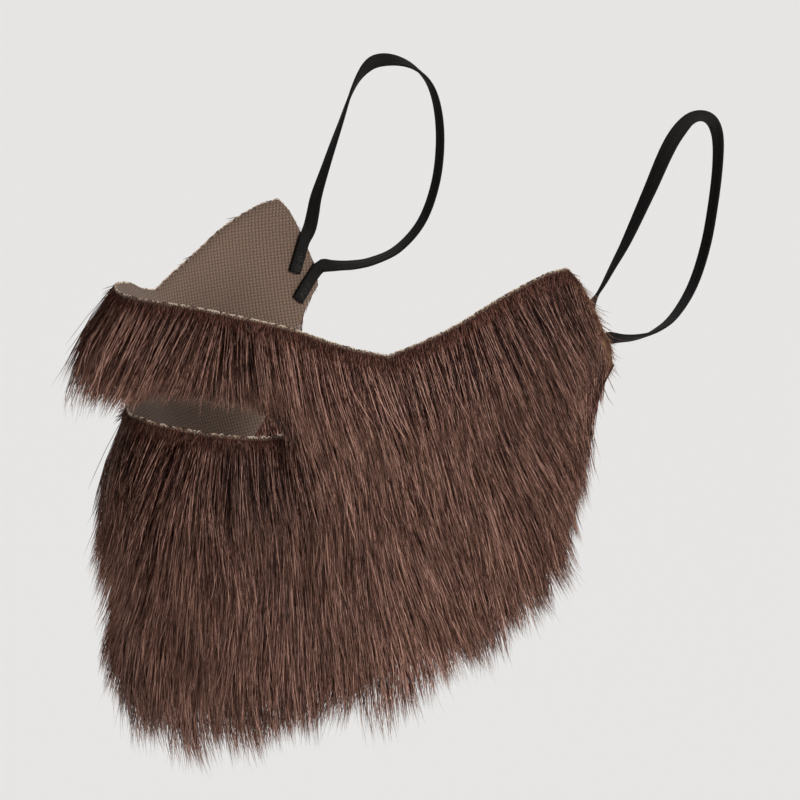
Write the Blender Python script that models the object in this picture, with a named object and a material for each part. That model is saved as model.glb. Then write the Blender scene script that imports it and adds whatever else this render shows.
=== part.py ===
# A fake beard of long-pile faux fur, in the form that it has on a face.
# +Z is up, the wearer looks along -Y and the wearer's left is +X.
# The origin is on the skin side of the cloth, at the middle of the moustache band's top edge.
# Sizes are in millimetres until metres() turns them into Blender's units.
# A place on the cloth is (across, up): the distance round the face from its middle line, and the height.

import math
from bisect import bisect_right

import bmesh
import bpy
from mathutils import Matrix, Vector

CLOTH_THICKNESS = 1.2
PIECE_GAP = 0.3
SEWN_GAP = 0.5

# Columns of the cloth and the fur: a lock of fur is two columns wide
COLUMN_STEP = 4.3
REAR_COLUMN = 32
NOTCH_COLUMN = 17
SIDEBURN_COLUMN = 29
SLIT_COLUMN = 10

ELASTIC_WIDTH = 4.0
ELASTIC_THICKNESS = 1.0
ELASTIC_STEP = 4.0

CLOTH_COLOUR = (0.10, 0.065, 0.048)
FUR_COLOUR = (0.085, 0.047, 0.037)
ELASTIC_COLOUR = (0.012, 0.010, 0.008)

# Plan of the face's surface at each level: the front of the middle line, then x and y at the places
# named below, each further round towards the ear
FACE_PLACES = ("muzzle", "corner", "cheek", "jaw", "rear")
FACE_COLUMNS = (
    "level", "front_y", "muzzle_x", "muzzle_y", "corner_x", "corner_y",
    "cheek_x", "cheek_y", "jaw_x", "jaw_y", "rear_x", "rear_y",
)
FACE_SECTIONS = (
    (12.0, 1.0, 21.5, 10.0, 39.2, 24.2, 57.1, 42.5, 66.8, 71.0, 69.8, 104.8),
    (0.0, 0.0, 21.5, 9.1, 39.2, 24.0, 57.1, 42.0, 66.8, 71.0, 69.8, 104.8),
    (-30.0, 3.0, 21.5, 11.9, 38.2, 27.2, 56.1, 45.5, 66.3, 74.0, 69.8, 104.8),
    (-62.0, 7.0, 20.5, 15.4, 35.2, 31.7, 52.1, 51.5, 62.8, 78.0, 66.8, 104.8),
    (-95.0, 12.0, 18.5, 19.4, 32.2, 34.7, 47.1, 54.5, 56.8, 79.0, 60.8, 104.8),
    (-122.0, 15.0, 17.5, 21.9, 30.2, 36.7, 44.1, 55.5, 52.8, 79.0, 56.8, 104.8),
)

# Steps between two of a level's places when its plan is measured round
PLAN_STEPS = 16
# Distance either side of a point from which a direction is taken
PROBE = 0.5

# The cloth's cut edges, as (across, up)
BAND_TOP = ((0.0, 0.0), (20.0, -0.8), (35.0, -2.8), (48.0, -5.4), (62.0, -9.4), (73.1, -11.8))
CHEEK_TOP = ((73.1, -11.8), (90.0, -5.3), (106.0, 2.5), (118.5, 7.2), (124.7, 8.1))
REAR_TOP = ((124.7, 8.1), (129.5, 3.6), (133.5, -4.0), (137.6, -14.0))
SLIT_TOP = ((0.0, -20.5), (13.0, -20.8), (28.0, -22.5), (38.0, -26.0), (43.0, -31.0))
SLIT_BOTTOM = ((0.0, -33.8), (13.0, -34.8), (28.0, -35.6), (38.0, -35.6), (43.0, -34.6))
CLOTH_BOTTOM = (
    (0.0, -93.0), (20.0, -92.5), (44.0, -86.5), (72.0, -76.5), (92.0, -66.5),
    (110.0, -54.0), (118.0, -46.0), (126.0, -34.0), (132.0, -25.0), (137.6, -19.0),
)

# The fur as (across, value): the pile's depth, the fringe's length below the cloth and the depth of its
# tips, and the rearward slant in degrees
PILE_DEPTH = ((0.0, 13.0), (25.0, 12.5), (45.0, 10.0), (72.0, 8.0), (105.0, 7.5), (125.0, 6.0), (137.6, 4.5))
FRINGE_LENGTH = (
    (0.0, 32.0), (25.0, 31.0), (72.0, 28.0), (105.0, 26.0),
    (113.0, 23.0), (120.0, 18.0), (128.0, 12.0), (137.6, 6.0),
)
FRINGE_DEPTH = ((0.0, 6.5), (30.0, 5.5), (60.0, 2.5), (100.0, 1.6), (137.6, 1.4))
SLANT = ((0.0, 0.0), (20.0, 0.0), (45.0, 4.0), (72.0, 8.0), (100.0, 11.0), (118.0, 8.0), (137.6, 2.0))
# Distance below a cut edge in which the pile gains most of its depth
PILE_GROWTH = 14.0
PILE_FOOT = 0.6
MOUSTACHE_FLARE = 4.0
FLARE_ENDS = 1.7
# Distance past the slit's corners in which the fur above and below it runs together
SLIT_BLEND = 12.0

# Rows of locks: the zone of the cloth that each grows on, the parts of that zone's height where it
# starts and ends, how far its long locks hang over the next row, and its share of the moustache's flare
LOCK_COLUMNS = ("zone", "start", "end", "overlap", "flare")
LOCK_ROWS = (
    ("band", 0.0, 0.45, 6.0, 0.6),
    ("band", 0.45, 1.0, 5.5, 1.0),
    ("beard", 0.0, 0.27, 6.0, 0.0),
    ("beard", 0.27, 0.52, 6.0, 0.0),
    ("beard", 0.52, 0.76, 6.0, 0.0),
    ("beard", 0.76, 1.0, 0.0, 0.0),
)
BAND_LOCK_ROWS = 2
# The cloth's own rows of points, as parts of each zone's height
BAND_LEVELS = (0.0, 0.5, 1.0)
BEARD_LEVELS = (0.0, 0.25, 0.5, 0.75, 1.0)
# A short lock's length and depth as shares of a long one's
SHORT_LOCK = 0.8
SHORT_FRINGE = 0.55
GROOVE = 0.82
# The most that a lock hangs over the next row, as a share of its own row, the swell of its tip over the
# pile's depth, and the share of the flare that its middle has
MOST_OVERLAP = 0.55
TIP_SWELL = 1.1
MIDDLE_FLARE = 0.6
# The pile's depth where a lock ends under the next row's start, and a fringe tip's thickness
UNDERCUT = 0.55
TIP_THICKNESS = 1.2

# An ear loop on the wearer's left: sewn ends as (across, up), and between them x, y, z and the turn
# of its flat face away from facing sideways, in degrees
LOOP_UPPER_SEWN = ((128.6, -14.0), (130.2, -10.8), (131.8, -7.4))
LOOP_COLUMNS = ("x", "y", "z", "turn")
LOOP_FREE = (
    (68.4, 101.4, -4.4, 0.0),
    (68.7, 103.4, -1.0, 15.0),
    (69.8, 105.2, 2.6, 75.0),
    (71.1, 107.2, 7.2, 108.0),
    (72.3, 110.6, 13.6, 140.0),
    (73.6, 117.2, 26.8, 178.0),
    (74.5, 123.8, 39.6, 190.0),
    (74.4, 129.4, 45.0, 210.0),
    (72.8, 135.4, 45.8, 230.0),
    (70.2, 141.4, 43.6, 250.0),
    (67.6, 145.6, 38.6, 262.0),
    (65.6, 147.4, 30.6, 268.0),
    (64.2, 147.2, 19.6, 270.0),
    (63.8, 145.0, 8.0, 270.0),
    (64.2, 140.2, -2.6, 272.0),
    (65.6, 132.6, -10.0, 278.0),
    (67.2, 124.6, -13.0, 290.0),
    (68.0, 118.0, -13.6, 308.0),
    (68.3, 112.0, -13.2, 336.0),
    (68.2, 107.2, -12.8, 360.0),
)
LOOP_LOWER_SEWN = ((136.6, -14.4), (132.6, -18.2), (128.6, -22.4))


def metres(point):
    return Vector(point) * 0.001


def smooth(rows, place):
    # A smooth curve through rows of (place, value), straight beyond its ends
    places = [row[0] for row in rows]
    span = min(max(bisect_right(places, place) - 1, 0), len(rows) - 2)

    def slope(index):
        before = rows[max(index - 1, 0)]
        after = rows[min(index + 1, len(rows) - 1)]
        return (after[1] - before[1]) / (after[0] - before[0])

    start, end = rows[span], rows[span + 1]
    if place <= places[0]:
        return start[1] + slope(0) * (place - start[0])
    if place >= places[-1]:
        return end[1] + slope(len(rows) - 1) * (place - end[0])
    length = end[0] - start[0]
    t = (place - start[0]) / length
    rise = start[1] * (2 * t**3 - 3 * t**2 + 1) + end[1] * (3 * t**2 - 2 * t**3)
    lean = slope(span) * (t**3 - 2 * t**2 + t) + slope(span + 1) * (t**3 - t**2)
    return rise + lean * length


def plan_curve(section):
    # One level of the face as rows of (distance from the middle line, x, y)
    stations = [(0.0, section["front_y"])]
    stations += [(section[f"{place}_x"], section[f"{place}_y"]) for place in FACE_PLACES]
    mirrored = [(-stations[1][0], stations[1][1])] + stations
    across = [(index - 1, point[0]) for index, point in enumerate(mirrored)]
    back = [(index - 1, point[1]) for index, point in enumerate(mirrored)]
    curve = [(0.0, *stations[0])]
    for step in range(1, PLAN_STEPS * (len(stations) - 1) + 1):
        x = smooth(across, step / PLAN_STEPS)
        y = smooth(back, step / PLAN_STEPS)
        curve.append((curve[-1][0] + math.dist((x, y), curve[-1][1:]), x, y))
    return curve


FACE_LEVELS = [dict(zip(FACE_COLUMNS, row)) for row in reversed(FACE_SECTIONS)]
PLAN_CURVES = [(section["level"], plan_curve(section)) for section in FACE_LEVELS]


def along(curve, distance):
    span = min(bisect_right(curve, distance, key=lambda row: row[0]), len(curve) - 1)
    start, end = curve[span - 1], curve[span]
    t = (distance - start[0]) / (end[0] - start[0])
    return start[1] + t * (end[1] - start[1]), start[2] + t * (end[2] - start[2])


def face(across, up):
    # The skin side of the cloth
    side = -1.0 if across < 0.0 else 1.0
    points = [(level, along(curve, abs(across))) for level, curve in PLAN_CURVES]
    x = smooth([(level, point[0]) for level, point in points], up)
    y = smooth([(level, point[1]) for level, point in points], up)
    return Vector((side * x, y, up))


def outward(across, up):
    sideways = face(across + PROBE, up) - face(across - PROBE, up)
    upward = face(across, up + PROBE) - face(across, up - PROBE)
    return sideways.cross(upward).normalized()


def off_face(across, up, height):
    return face(across, up) + outward(across, up) * height


def top_edge(across):
    across = abs(across)
    if across <= COLUMN_STEP * NOTCH_COLUMN:
        return smooth(BAND_TOP, across)
    if across <= COLUMN_STEP * SIDEBURN_COLUMN:
        return smooth(CHEEK_TOP, across)
    return smooth(REAR_TOP, across)


def slit_lines(across):
    # The mouth slit's edges, carried on past its corners to the rear edge
    across = abs(across)
    corner = COLUMN_STEP * SLIT_COLUMN
    if across <= corner:
        return smooth(SLIT_TOP, across), smooth(SLIT_BOTTOM, across)
    top, bottom = top_edge(across), smooth(CLOTH_BOTTOM, across)
    height = top_edge(corner) - smooth(CLOTH_BOTTOM, corner)
    upper = (top_edge(corner) - smooth(SLIT_TOP, corner)) / height
    lower = (top_edge(corner) - smooth(SLIT_BOTTOM, corner)) / height
    return top + (bottom - top) * upper, top + (bottom - top) * lower


def zone_height(across, zone, part):
    upper, lower = slit_lines(across)
    if zone == "band":
        top = top_edge(across)
        return top + (upper - top) * part
    return lower + (smooth(CLOTH_BOTTOM, abs(across)) - lower) * part


def in_slit(column):
    return abs(column) <= SLIT_COLUMN


def columns():
    return range(-REAR_COLUMN, REAR_COLUMN + 1)


def cloth_heights(across):
    band = [zone_height(across, "band", part) for part in BAND_LEVELS]
    beard = [zone_height(across, "beard", part) for part in BEARD_LEVELS]
    return band + beard


def add_object(name, mesh, colour, roughness):
    material = bpy.data.materials.new(name)
    material.use_nodes = True
    shader = material.node_tree.nodes["Principled BSDF"]
    shader.inputs["Base Color"].default_value = (*colour, 1.0)
    shader.inputs["Roughness"].default_value = roughness
    shader.inputs["Metallic"].default_value = 0.0
    mesh.materials.append(material)
    part = bpy.data.objects.new(name, mesh)
    bpy.context.scene.collection.objects.link(part)
    return part


def mesh_from(shape, name):
    mesh = bpy.data.meshes.new(name)
    shape.to_mesh(mesh)
    shape.free()
    return mesh


def add_sheet(shape, grid, open_row):
    # Outward faces between a grid's columns, apart from the mouth slit's
    for column in columns()[:-1]:
        left, right = grid[column], grid[column + 1]
        for row in range(len(left) - 1):
            if row == open_row and in_slit(column) and in_slit(column + 1):
                continue
            shape.faces.new((left[row], left[row + 1], right[row + 1], right[row]))


def make_backing_cloth():
    shape = bmesh.new()
    grid = {}
    for column in columns():
        across = column * COLUMN_STEP
        heights = cloth_heights(across)
        grid[column] = [shape.verts.new(metres(face(across, up))) for up in heights]
    add_sheet(shape, grid, len(BAND_LEVELS) - 1)
    cloth = add_object("backing_cloth", mesh_from(shape, "backing_cloth"), CLOTH_COLOUR, 0.9)
    wall = cloth.modifiers.new("wall", "SOLIDIFY")
    wall.thickness = CLOTH_THICKNESS * 0.001
    wall.offset = 1.0
    wall.use_even_offset = True
    return cloth


def past_slit(across):
    # 0 beside the mouth slit, 1 where the fur is whole again past its corner
    past = (abs(across) - COLUMN_STEP * SLIT_COLUMN) / SLIT_BLEND
    return min(max(past, 0.0), 1.0)


def pile_depth(across, up):
    # Depth of the fur over the cloth, growing downwards from the cut edge above it
    slit_bottom = slit_lines(across)[1]
    growth = 1.0 - math.exp(-(top_edge(across) - up) / PILE_GROWTH)
    if up < slit_bottom:
        below_slit = 1.0 - math.exp(-(slit_bottom - up) / PILE_GROWTH)
        growth = below_slit + (growth - below_slit) * past_slit(across)
    return PILE_FOOT + smooth(PILE_DEPTH, abs(across)) * max(growth, 0.0)


def moustache_flare(across):
    ends = FLARE_ENDS - abs(across) / (COLUMN_STEP * SLIT_COLUMN)
    return MOUSTACHE_FLARE * min(max(ends, 0.0), 1.0)


def lock_points(row, across, long_lock):
    # A lock's middle and tip, as (up, depth of fur)
    start = zone_height(across, row["zone"], row["start"])
    end = zone_height(across, row["zone"], row["end"])
    fullness = 1.0 if long_lock else GROOVE
    flare = moustache_flare(across) * row["flare"]
    overlap = min(row["overlap"], MOST_OVERLAP * (start - end))
    tip = end - overlap if long_lock else start + (end - start) * SHORT_LOCK
    middle = (start + tip) / 2
    return (
        (middle, (pile_depth(across, middle) + MIDDLE_FLARE * flare) * fullness),
        (tip, (pile_depth(across, tip) * TIP_SWELL + flare) * fullness),
    )


def fringe_points(across, long_lock):
    bottom = smooth(CLOTH_BOTTOM, abs(across))
    fullness = 1.0 if long_lock else GROOVE
    length = smooth(FRINGE_LENGTH, abs(across)) * (1.0 if long_lock else SHORT_FRINGE)
    return (
        (bottom, pile_depth(across, bottom) * fullness),
        (bottom - length, smooth(FRINGE_DEPTH, abs(across))),
    )


def lock_column(column):
    # One column of the fur's outer side from top to tip, as (across, up, height over the skin side)
    across = column * COLUMN_STEP
    foot = CLOTH_THICKNESS + PIECE_GAP
    slant = math.tan(math.radians(smooth(SLANT, abs(across)))) * math.copysign(1.0, across)
    side = [(across, top_edge(across), foot + PILE_FOOT)]
    for number, row in enumerate(dict(zip(LOCK_COLUMNS, values)) for values in LOCK_ROWS):
        start = zone_height(across, row["zone"], row["start"])
        end = zone_height(across, row["zone"], row["end"])
        long_lock = (column + number) % 2 == 0
        last = number == len(LOCK_ROWS) - 1
        points = fringe_points(across, long_lock) if last else lock_points(row, across, long_lock)
        side += [(across + slant * (start - up), up, foot + depth) for up, depth in points]
        if last:
            return side
        under = pile_depth(across, end) * UNDERCUT
        if number == BAND_LOCK_ROWS - 1:
            under = PILE_FOOT + max(under - PILE_FOOT, 0.0) * past_slit(across)
            side.append((across, end, foot + under))
            end = slit_lines(across)[1]
        side.append((across, end, foot + under))


def make_fur_pile():
    shape = bmesh.new()
    foot = CLOTH_THICKNESS + PIECE_GAP
    outer, inner = {}, {}
    for column in columns():
        across = column * COLUMN_STEP
        side = lock_column(column)
        tip_across, tip_up, tip_height = side[-1]
        skin = [(across, up, foot) for up in cloth_heights(across)]
        skin.append((tip_across, tip_up, tip_height - TIP_THICKNESS))
        outer[column] = [shape.verts.new(metres(off_face(*place))) for place in side]
        inner[column] = [shape.verts.new(metres(off_face(*place))) for place in skin]
    outer_slit = 3 * BAND_LOCK_ROWS
    inner_slit = len(BAND_LEVELS) - 1
    add_sheet(shape, outer, outer_slit)
    add_sheet(shape, inner, inner_slit)
    for column in columns()[:-1]:
        rims = [(0, 0), (-1, -1)]
        if in_slit(column) and in_slit(column + 1):
            rims += [(outer_slit, inner_slit), (outer_slit + 1, inner_slit + 1)]
        for over, under in rims:
            shape.faces.new((
                outer[column][over], outer[column + 1][over],
                inner[column + 1][under], inner[column][under],
            ))
    for column in (-SLIT_COLUMN, SLIT_COLUMN):
        shape.faces.new((
            outer[column][outer_slit], outer[column][outer_slit + 1],
            inner[column][inner_slit + 1], inner[column][inner_slit],
        ))
    ends = [
        shape.faces.new(outer[column] + inner[column][::-1])
        for column in (-REAR_COLUMN, REAR_COLUMN)
    ]
    bmesh.ops.triangulate(shape, faces=ends, ngon_method="EAR_CLIP")
    bmesh.ops.recalc_face_normals(shape, faces=shape.faces)
    return add_object("fur_pile", mesh_from(shape, "fur_pile"), FUR_COLOUR, 0.75)


def loop_route():
    # The loop's middle line as rows of (x, y, z, turn), from its upper sewn end to its lower one
    under_cloth = -(SEWN_GAP + ELASTIC_THICKNESS / 2)
    upper = [(*off_face(across, up, under_cloth), 0.0) for across, up in LOOP_UPPER_SEWN]
    lower = [(*off_face(across, up, under_cloth), 360.0) for across, up in LOOP_LOWER_SEWN]
    return upper + list(LOOP_FREE) + lower


def make_ear_loop(name, side):
    route = loop_route()
    distances = [0.0]
    for before, after in zip(route, route[1:]):
        distances.append(distances[-1] + math.dist(before[:3], after[:3]))
    tracks = {
        column: [(at, row[place]) for at, row in zip(distances, route)]
        for place, column in enumerate(LOOP_COLUMNS)
    }

    def middle(at):
        return Vector([smooth(tracks[axis], at) for axis in "xyz"])

    shape = bmesh.new()
    count = round(distances[-1] / ELASTIC_STEP)
    rings = []
    for number in range(count + 1):
        at = distances[-1] * number / count
        run = (middle(min(at + PROBE, distances[-1])) - middle(max(at - PROBE, 0.0))).normalized()
        turn = Matrix.Rotation(math.radians(smooth(tracks["turn"], at)), 3, run)
        width = turn @ run.cross(Vector((1.0, 0.0, 0.0))).normalized()
        flat = width.cross(run)
        ring = []
        for along_width, along_flat in ((1, 1), (-1, 1), (-1, -1), (1, -1)):
            corner = middle(at) + width * along_width * ELASTIC_WIDTH / 2
            corner += flat * along_flat * ELASTIC_THICKNESS / 2
            corner.x *= side
            ring.append(shape.verts.new(metres(corner)))
        rings.append(ring)
    for before, after in zip(rings, rings[1:]):
        for corner in range(4):
            beside = (corner + 1) % 4
            shape.faces.new((before[corner], before[beside], after[beside], after[corner]))
    shape.faces.new(rings[0])
    shape.faces.new(rings[-1])
    bmesh.ops.recalc_face_normals(shape, faces=shape.faces)
    return add_object(name, mesh_from(shape, name), ELASTIC_COLOUR, 0.8)


def main():
    for old in list(bpy.data.objects):
        bpy.data.objects.remove(old, do_unlink=True)
    make_backing_cloth()
    make_fur_pile()
    make_ear_loop("ear_loop_left", 1.0)
    make_ear_loop("ear_loop_right", -1.0)


main()
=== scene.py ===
# Dresses the fake beard for a studio picture: knitted backing, raw cut edges, long fur and two elastic ear loops.
# Lengths in the tables are in millimetres, and the scene is in metres. +Z is up, the wearer looks along -Y,
# and the wearer's left is +X. A place on the cloth is (across, up): how far round the face, and how high.
import math
from bisect import bisect_right

import bpy
import numpy as np
from mathutils import Matrix, Vector, noise


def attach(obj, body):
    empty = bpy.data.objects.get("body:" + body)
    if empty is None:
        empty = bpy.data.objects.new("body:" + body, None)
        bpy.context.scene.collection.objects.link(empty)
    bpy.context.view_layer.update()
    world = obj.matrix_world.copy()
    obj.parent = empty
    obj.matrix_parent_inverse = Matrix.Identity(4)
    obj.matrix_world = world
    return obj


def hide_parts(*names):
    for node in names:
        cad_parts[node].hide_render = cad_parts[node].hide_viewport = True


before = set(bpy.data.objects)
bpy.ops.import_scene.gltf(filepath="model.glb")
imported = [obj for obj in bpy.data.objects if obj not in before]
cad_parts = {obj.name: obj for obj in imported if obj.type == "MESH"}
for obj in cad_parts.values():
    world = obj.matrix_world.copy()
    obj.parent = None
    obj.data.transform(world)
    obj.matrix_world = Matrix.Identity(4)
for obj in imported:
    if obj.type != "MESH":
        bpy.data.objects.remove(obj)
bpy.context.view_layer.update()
print("frame loaded:", ", ".join(sorted(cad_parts)))

mm = 0.001

# The face's form, as the solids have it
# Plan of the face at each level: level, then x and y at the middle, muzzle, mouth corner, cheek, jaw and rear
facePlan = (
    (12.0, 0.0, 1.0, 21.5, 10.0, 39.2, 24.2, 57.1, 42.5, 66.8, 71.0, 69.8, 104.8),
    (0.0, 0.0, 0.0, 21.5, 9.1, 39.2, 24.0, 57.1, 42.0, 66.8, 71.0, 69.8, 104.8),
    (-30.0, 0.0, 3.0, 21.5, 11.9, 38.2, 27.2, 56.1, 45.5, 66.3, 74.0, 69.8, 104.8),
    (-62.0, 0.0, 7.0, 20.5, 15.4, 35.2, 31.7, 52.1, 51.5, 62.8, 78.0, 66.8, 104.8),
    (-95.0, 0.0, 12.0, 18.5, 19.4, 32.2, 34.7, 47.1, 54.5, 56.8, 79.0, 60.8, 104.8),
    (-122.0, 0.0, 15.0, 17.5, 21.9, 30.2, 36.7, 44.1, 55.5, 52.8, 79.0, 56.8, 104.8),
)
# The cloth's cut edges as (across, up), and the fur as (across, value)
bandTop = ((0.0, 0.0), (20.0, -0.8), (35.0, -2.8), (48.0, -5.4), (62.0, -9.4), (73.1, -11.8))
cheekTop = ((73.1, -11.8), (90.0, -5.3), (106.0, 2.5), (118.5, 7.2), (124.7, 8.1))
rearTop = ((124.7, 8.1), (129.5, 3.6), (133.5, -4.0), (137.6, -14.0))
slitTop = ((0.0, -20.5), (13.0, -20.8), (28.0, -22.5), (38.0, -26.0), (43.0, -31.0))
slitBottom = ((0.0, -33.8), (13.0, -34.8), (28.0, -35.6), (38.0, -35.6), (43.0, -34.6))
clothBottom = (
    (0.0, -93.0), (20.0, -92.5), (44.0, -86.5), (72.0, -76.5), (92.0, -66.5),
    (110.0, -54.0), (118.0, -46.0), (126.0, -34.0), (132.0, -25.0), (137.6, -19.0),
)
pileDepths = ((0.0, 13.0), (25.0, 12.5), (45.0, 10.0), (72.0, 8.0), (105.0, 7.5), (125.0, 6.0), (137.6, 4.5))
fringeLengths = (
    (0.0, 32.0), (25.0, 31.0), (72.0, 28.0), (105.0, 26.0),
    (113.0, 23.0), (120.0, 18.0), (128.0, 12.0), (137.6, 6.0),
)
notchAt, sideburnAt, slitEnd, rearAt = 73.1, 124.7, 43.0, 137.6
clothWall = 1.2
nearly = 0.01  # places on the cloth that are closer than this count as the same


def asShare(value):
    return min(max(value, 0.0), 1.0)


def bell(place, middle, radius):
    # 1 at the middle, and falling away evenly on both sides of it
    return math.exp(-(((place - middle) / radius) ** 2))


def smooth(rows, place):
    # A smooth curve through rows of (place, value), straight beyond its ends
    places = [row[0] for row in rows]
    span = min(max(bisect_right(places, place) - 1, 0), len(rows) - 2)

    def slope(index):
        before, after = rows[max(index - 1, 0)], rows[min(index + 1, len(rows) - 1)]
        return (after[1] - before[1]) / (after[0] - before[0])

    start, end = rows[span], rows[span + 1]
    if place <= places[0]:
        return start[1] + slope(0) * (place - start[0])
    if place >= places[-1]:
        return end[1] + slope(len(rows) - 1) * (place - end[0])
    length = end[0] - start[0]
    t = (place - start[0]) / length
    rise = start[1] * (2 * t**3 - 3 * t**2 + 1) + end[1] * (3 * t**2 - 2 * t**3)
    return rise + (slope(span) * (t**3 - 2 * t**2 + t) + slope(span + 1) * (t**3 - t**2)) * length


def roundFace(level):
    # One level of the face as rows of (distance from the middle line, x, y)
    points = list(zip(level[1::2], level[2::2]))
    mirrored = [(-points[1][0], points[1][1])] + points
    xs = [(index - 1, point[0]) for index, point in enumerate(mirrored)]
    ys = [(index - 1, point[1]) for index, point in enumerate(mirrored)]
    curve = [(0.0, *points[0])]
    steps = 16  # between two points of the plan
    for step in range(1, steps * (len(points) - 1) + 1):
        x, y = smooth(xs, step / steps), smooth(ys, step / steps)
        curve.append((curve[-1][0] + math.dist((x, y), curve[-1][1:]), x, y))
    return level[0], curve


faceLevels = [roundFace(level) for level in reversed(facePlan)]


def facePoint(across, up):
    # The cloth's skin side, in millimetres
    rows = []
    for level, curve in faceLevels:
        span = min(bisect_right(curve, abs(across), key=lambda row: row[0]), len(curve) - 1)
        start, end = curve[span - 1], curve[span]
        t = (abs(across) - start[0]) / (end[0] - start[0])
        rows.append((level, start[1] + t * (end[1] - start[1]), start[2] + t * (end[2] - start[2])))
    x = smooth([(row[0], row[1]) for row in rows], up)
    y = smooth([(row[0], row[2]) for row in rows], up)
    return Vector((math.copysign(x, across) if across else 0.0, y, up))


def offFace(across, up, height):
    # A point at a height straight over the cloth's skin side
    sideways = facePoint(across + 0.5, up) - facePoint(across - 0.5, up)
    upward = facePoint(across, up + 0.5) - facePoint(across, up - 0.5)
    return facePoint(across, up) + sideways.cross(upward).normalized() * height


def topEdge(across):
    across = abs(across)
    rows = bandTop if across <= notchAt else cheekTop if across <= sideburnAt else rearTop
    return smooth(rows, across)


def slitLines(across):
    # The mouth slit's edges, carried on past its ends to the rear edge
    across = abs(across)
    if across <= slitEnd:
        return smooth(slitTop, across), smooth(slitBottom, across)
    top, bottom = topEdge(across), smooth(clothBottom, across)
    height = topEdge(slitEnd) - smooth(clothBottom, slitEnd)
    upper = (topEdge(slitEnd) - smooth(slitTop, slitEnd)) / height
    lower = (topEdge(slitEnd) - smooth(slitBottom, slitEnd)) / height
    return top + (bottom - top) * upper, top + (bottom - top) * lower


def pileDepth(across, up):
    # The depth of the fur as a whole, which builds up below each cut edge
    thinnest, buildUp, pastSlit = 0.6, 14.0, 12.0
    slit = slitLines(across)[1]
    growth = 1.0 - math.exp(-(topEdge(across) - up) / buildUp)
    if up < slit:
        below = 1.0 - math.exp(-(slit - up) / buildUp)
        growth = below + (growth - below) * asShare((abs(across) - slitEnd) / pastSlit)
    return thinnest + smooth(pileDepths, abs(across)) * max(growth, 0.0)


def linearColour(code):
    # An sRGB hex value as linear red, green, blue and alpha
    parts = [int(code[index:index + 2], 16) / 255 for index in (1, 3, 5)]
    return (*[part / 12.92 if part <= 0.04045 else ((part + 0.055) / 1.055) ** 2.4 for part in parts], 1.0)


def addNode(tree, kind, settings=None, inputs=None):
    # One node with its settings, and its inputs as values or as sockets to link from
    node = tree.nodes.new(kind)
    for name, value in (settings or {}).items():
        setattr(node, name, value)
    for socket, value in (inputs or {}).items():
        if isinstance(value, bpy.types.NodeSocket):
            tree.links.new(value, node.inputs[socket])
        else:
            node.inputs[socket].default_value = value
    return node


def newTree(title, kinds):
    # A geometry node tree with one mesh in, named inputs of these kinds, and one mesh out
    tree = bpy.data.node_groups.new(title, "GeometryNodeTree")
    tree.interface.new_socket(name="Mesh", in_out="INPUT", socket_type="NodeSocketGeometry")
    for name, kind in kinds.items():
        tree.interface.new_socket(name=name, in_out="INPUT", socket_type=f"NodeSocket{kind}")
    tree.interface.new_socket(name="Mesh", in_out="OUTPUT", socket_type="NodeSocketGeometry")
    return tree, tree.nodes.new("NodeGroupInput").outputs


def runTree(tree, carrier, values, name):
    # The tree's result on a carrier, as a plain mesh in a piece of its own
    modifier = carrier.modifiers.new(tree.name, "NODES")
    modifier.node_group = tree
    for item in tree.interface.items_tree:
        if item.in_out == "INPUT" and item.name in values:
            modifier[item.identifier] = values[item.name]
    graph = bpy.context.evaluated_depsgraph_get()
    mesh = bpy.data.meshes.new_from_object(
        carrier.evaluated_get(graph), preserve_all_data_layers=True, depsgraph=graph
    )
    carrier.modifiers.remove(modifier)
    mesh.name = name
    for attribute in [each.name for each in mesh.attributes]:
        if attribute not in ("position", "OFBake", "material_index") and not attribute.startswith((".", "sharp")):
            mesh.attributes.remove(mesh.attributes[attribute])
    piece = bpy.data.objects.new(name, mesh)
    bpy.context.scene.collection.objects.link(piece)
    return piece


def addMesh(name, points, faces, uvMaps=None, edges=()):
    mesh = bpy.data.meshes.new(name)
    mesh.from_pydata(points, edges, faces)
    for label, corners in (uvMaps or {}).items():
        layer = mesh.uv_layers.new(name=label)
        layer.data.foreach_set("uv", np.array(corners, dtype=np.float32).ravel())
    mesh.shade_smooth()
    piece = bpy.data.objects.new(name, mesh)
    bpy.context.scene.collection.objects.link(piece)
    return piece


def addVectors(piece, label, rows):
    attribute = piece.data.attributes.new(label, "FLOAT_VECTOR", "POINT")
    attribute.data.foreach_set("vector", np.array(rows, dtype=np.float32).ravel())


def discard(piece):
    mesh = piece.data
    bpy.data.objects.remove(piece)
    bpy.data.meshes.remove(mesh)


def newMaterial(title):
    material = bpy.data.materials.new(title)
    material.use_nodes = True
    return material, material.node_tree, material.node_tree.nodes["Principled BSDF"]


# Camera, floor and lights, with lengths in metres and angles in degrees
view = {
    "place": (0.9273, -0.5616, 0.2016),
    "turn": (78.0, 0.0, 55.0),
    "lens": 185.6,
    "surroundings": "#FBFAF8",
    "surroundingLight": 0.20,
    "floor": "#F8F7F6",
    "floorHeight": -0.50,
    "floorReach": 12.0,
}
# Wide, far lights: name, compass angle from -Y towards +X, height angle, spread and strength
lights = (
    ("key", 98.0, 12.0, 14.0, 2.75),
    ("back", -112.0, 56.0, 40.0, 1.8),
)


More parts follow.
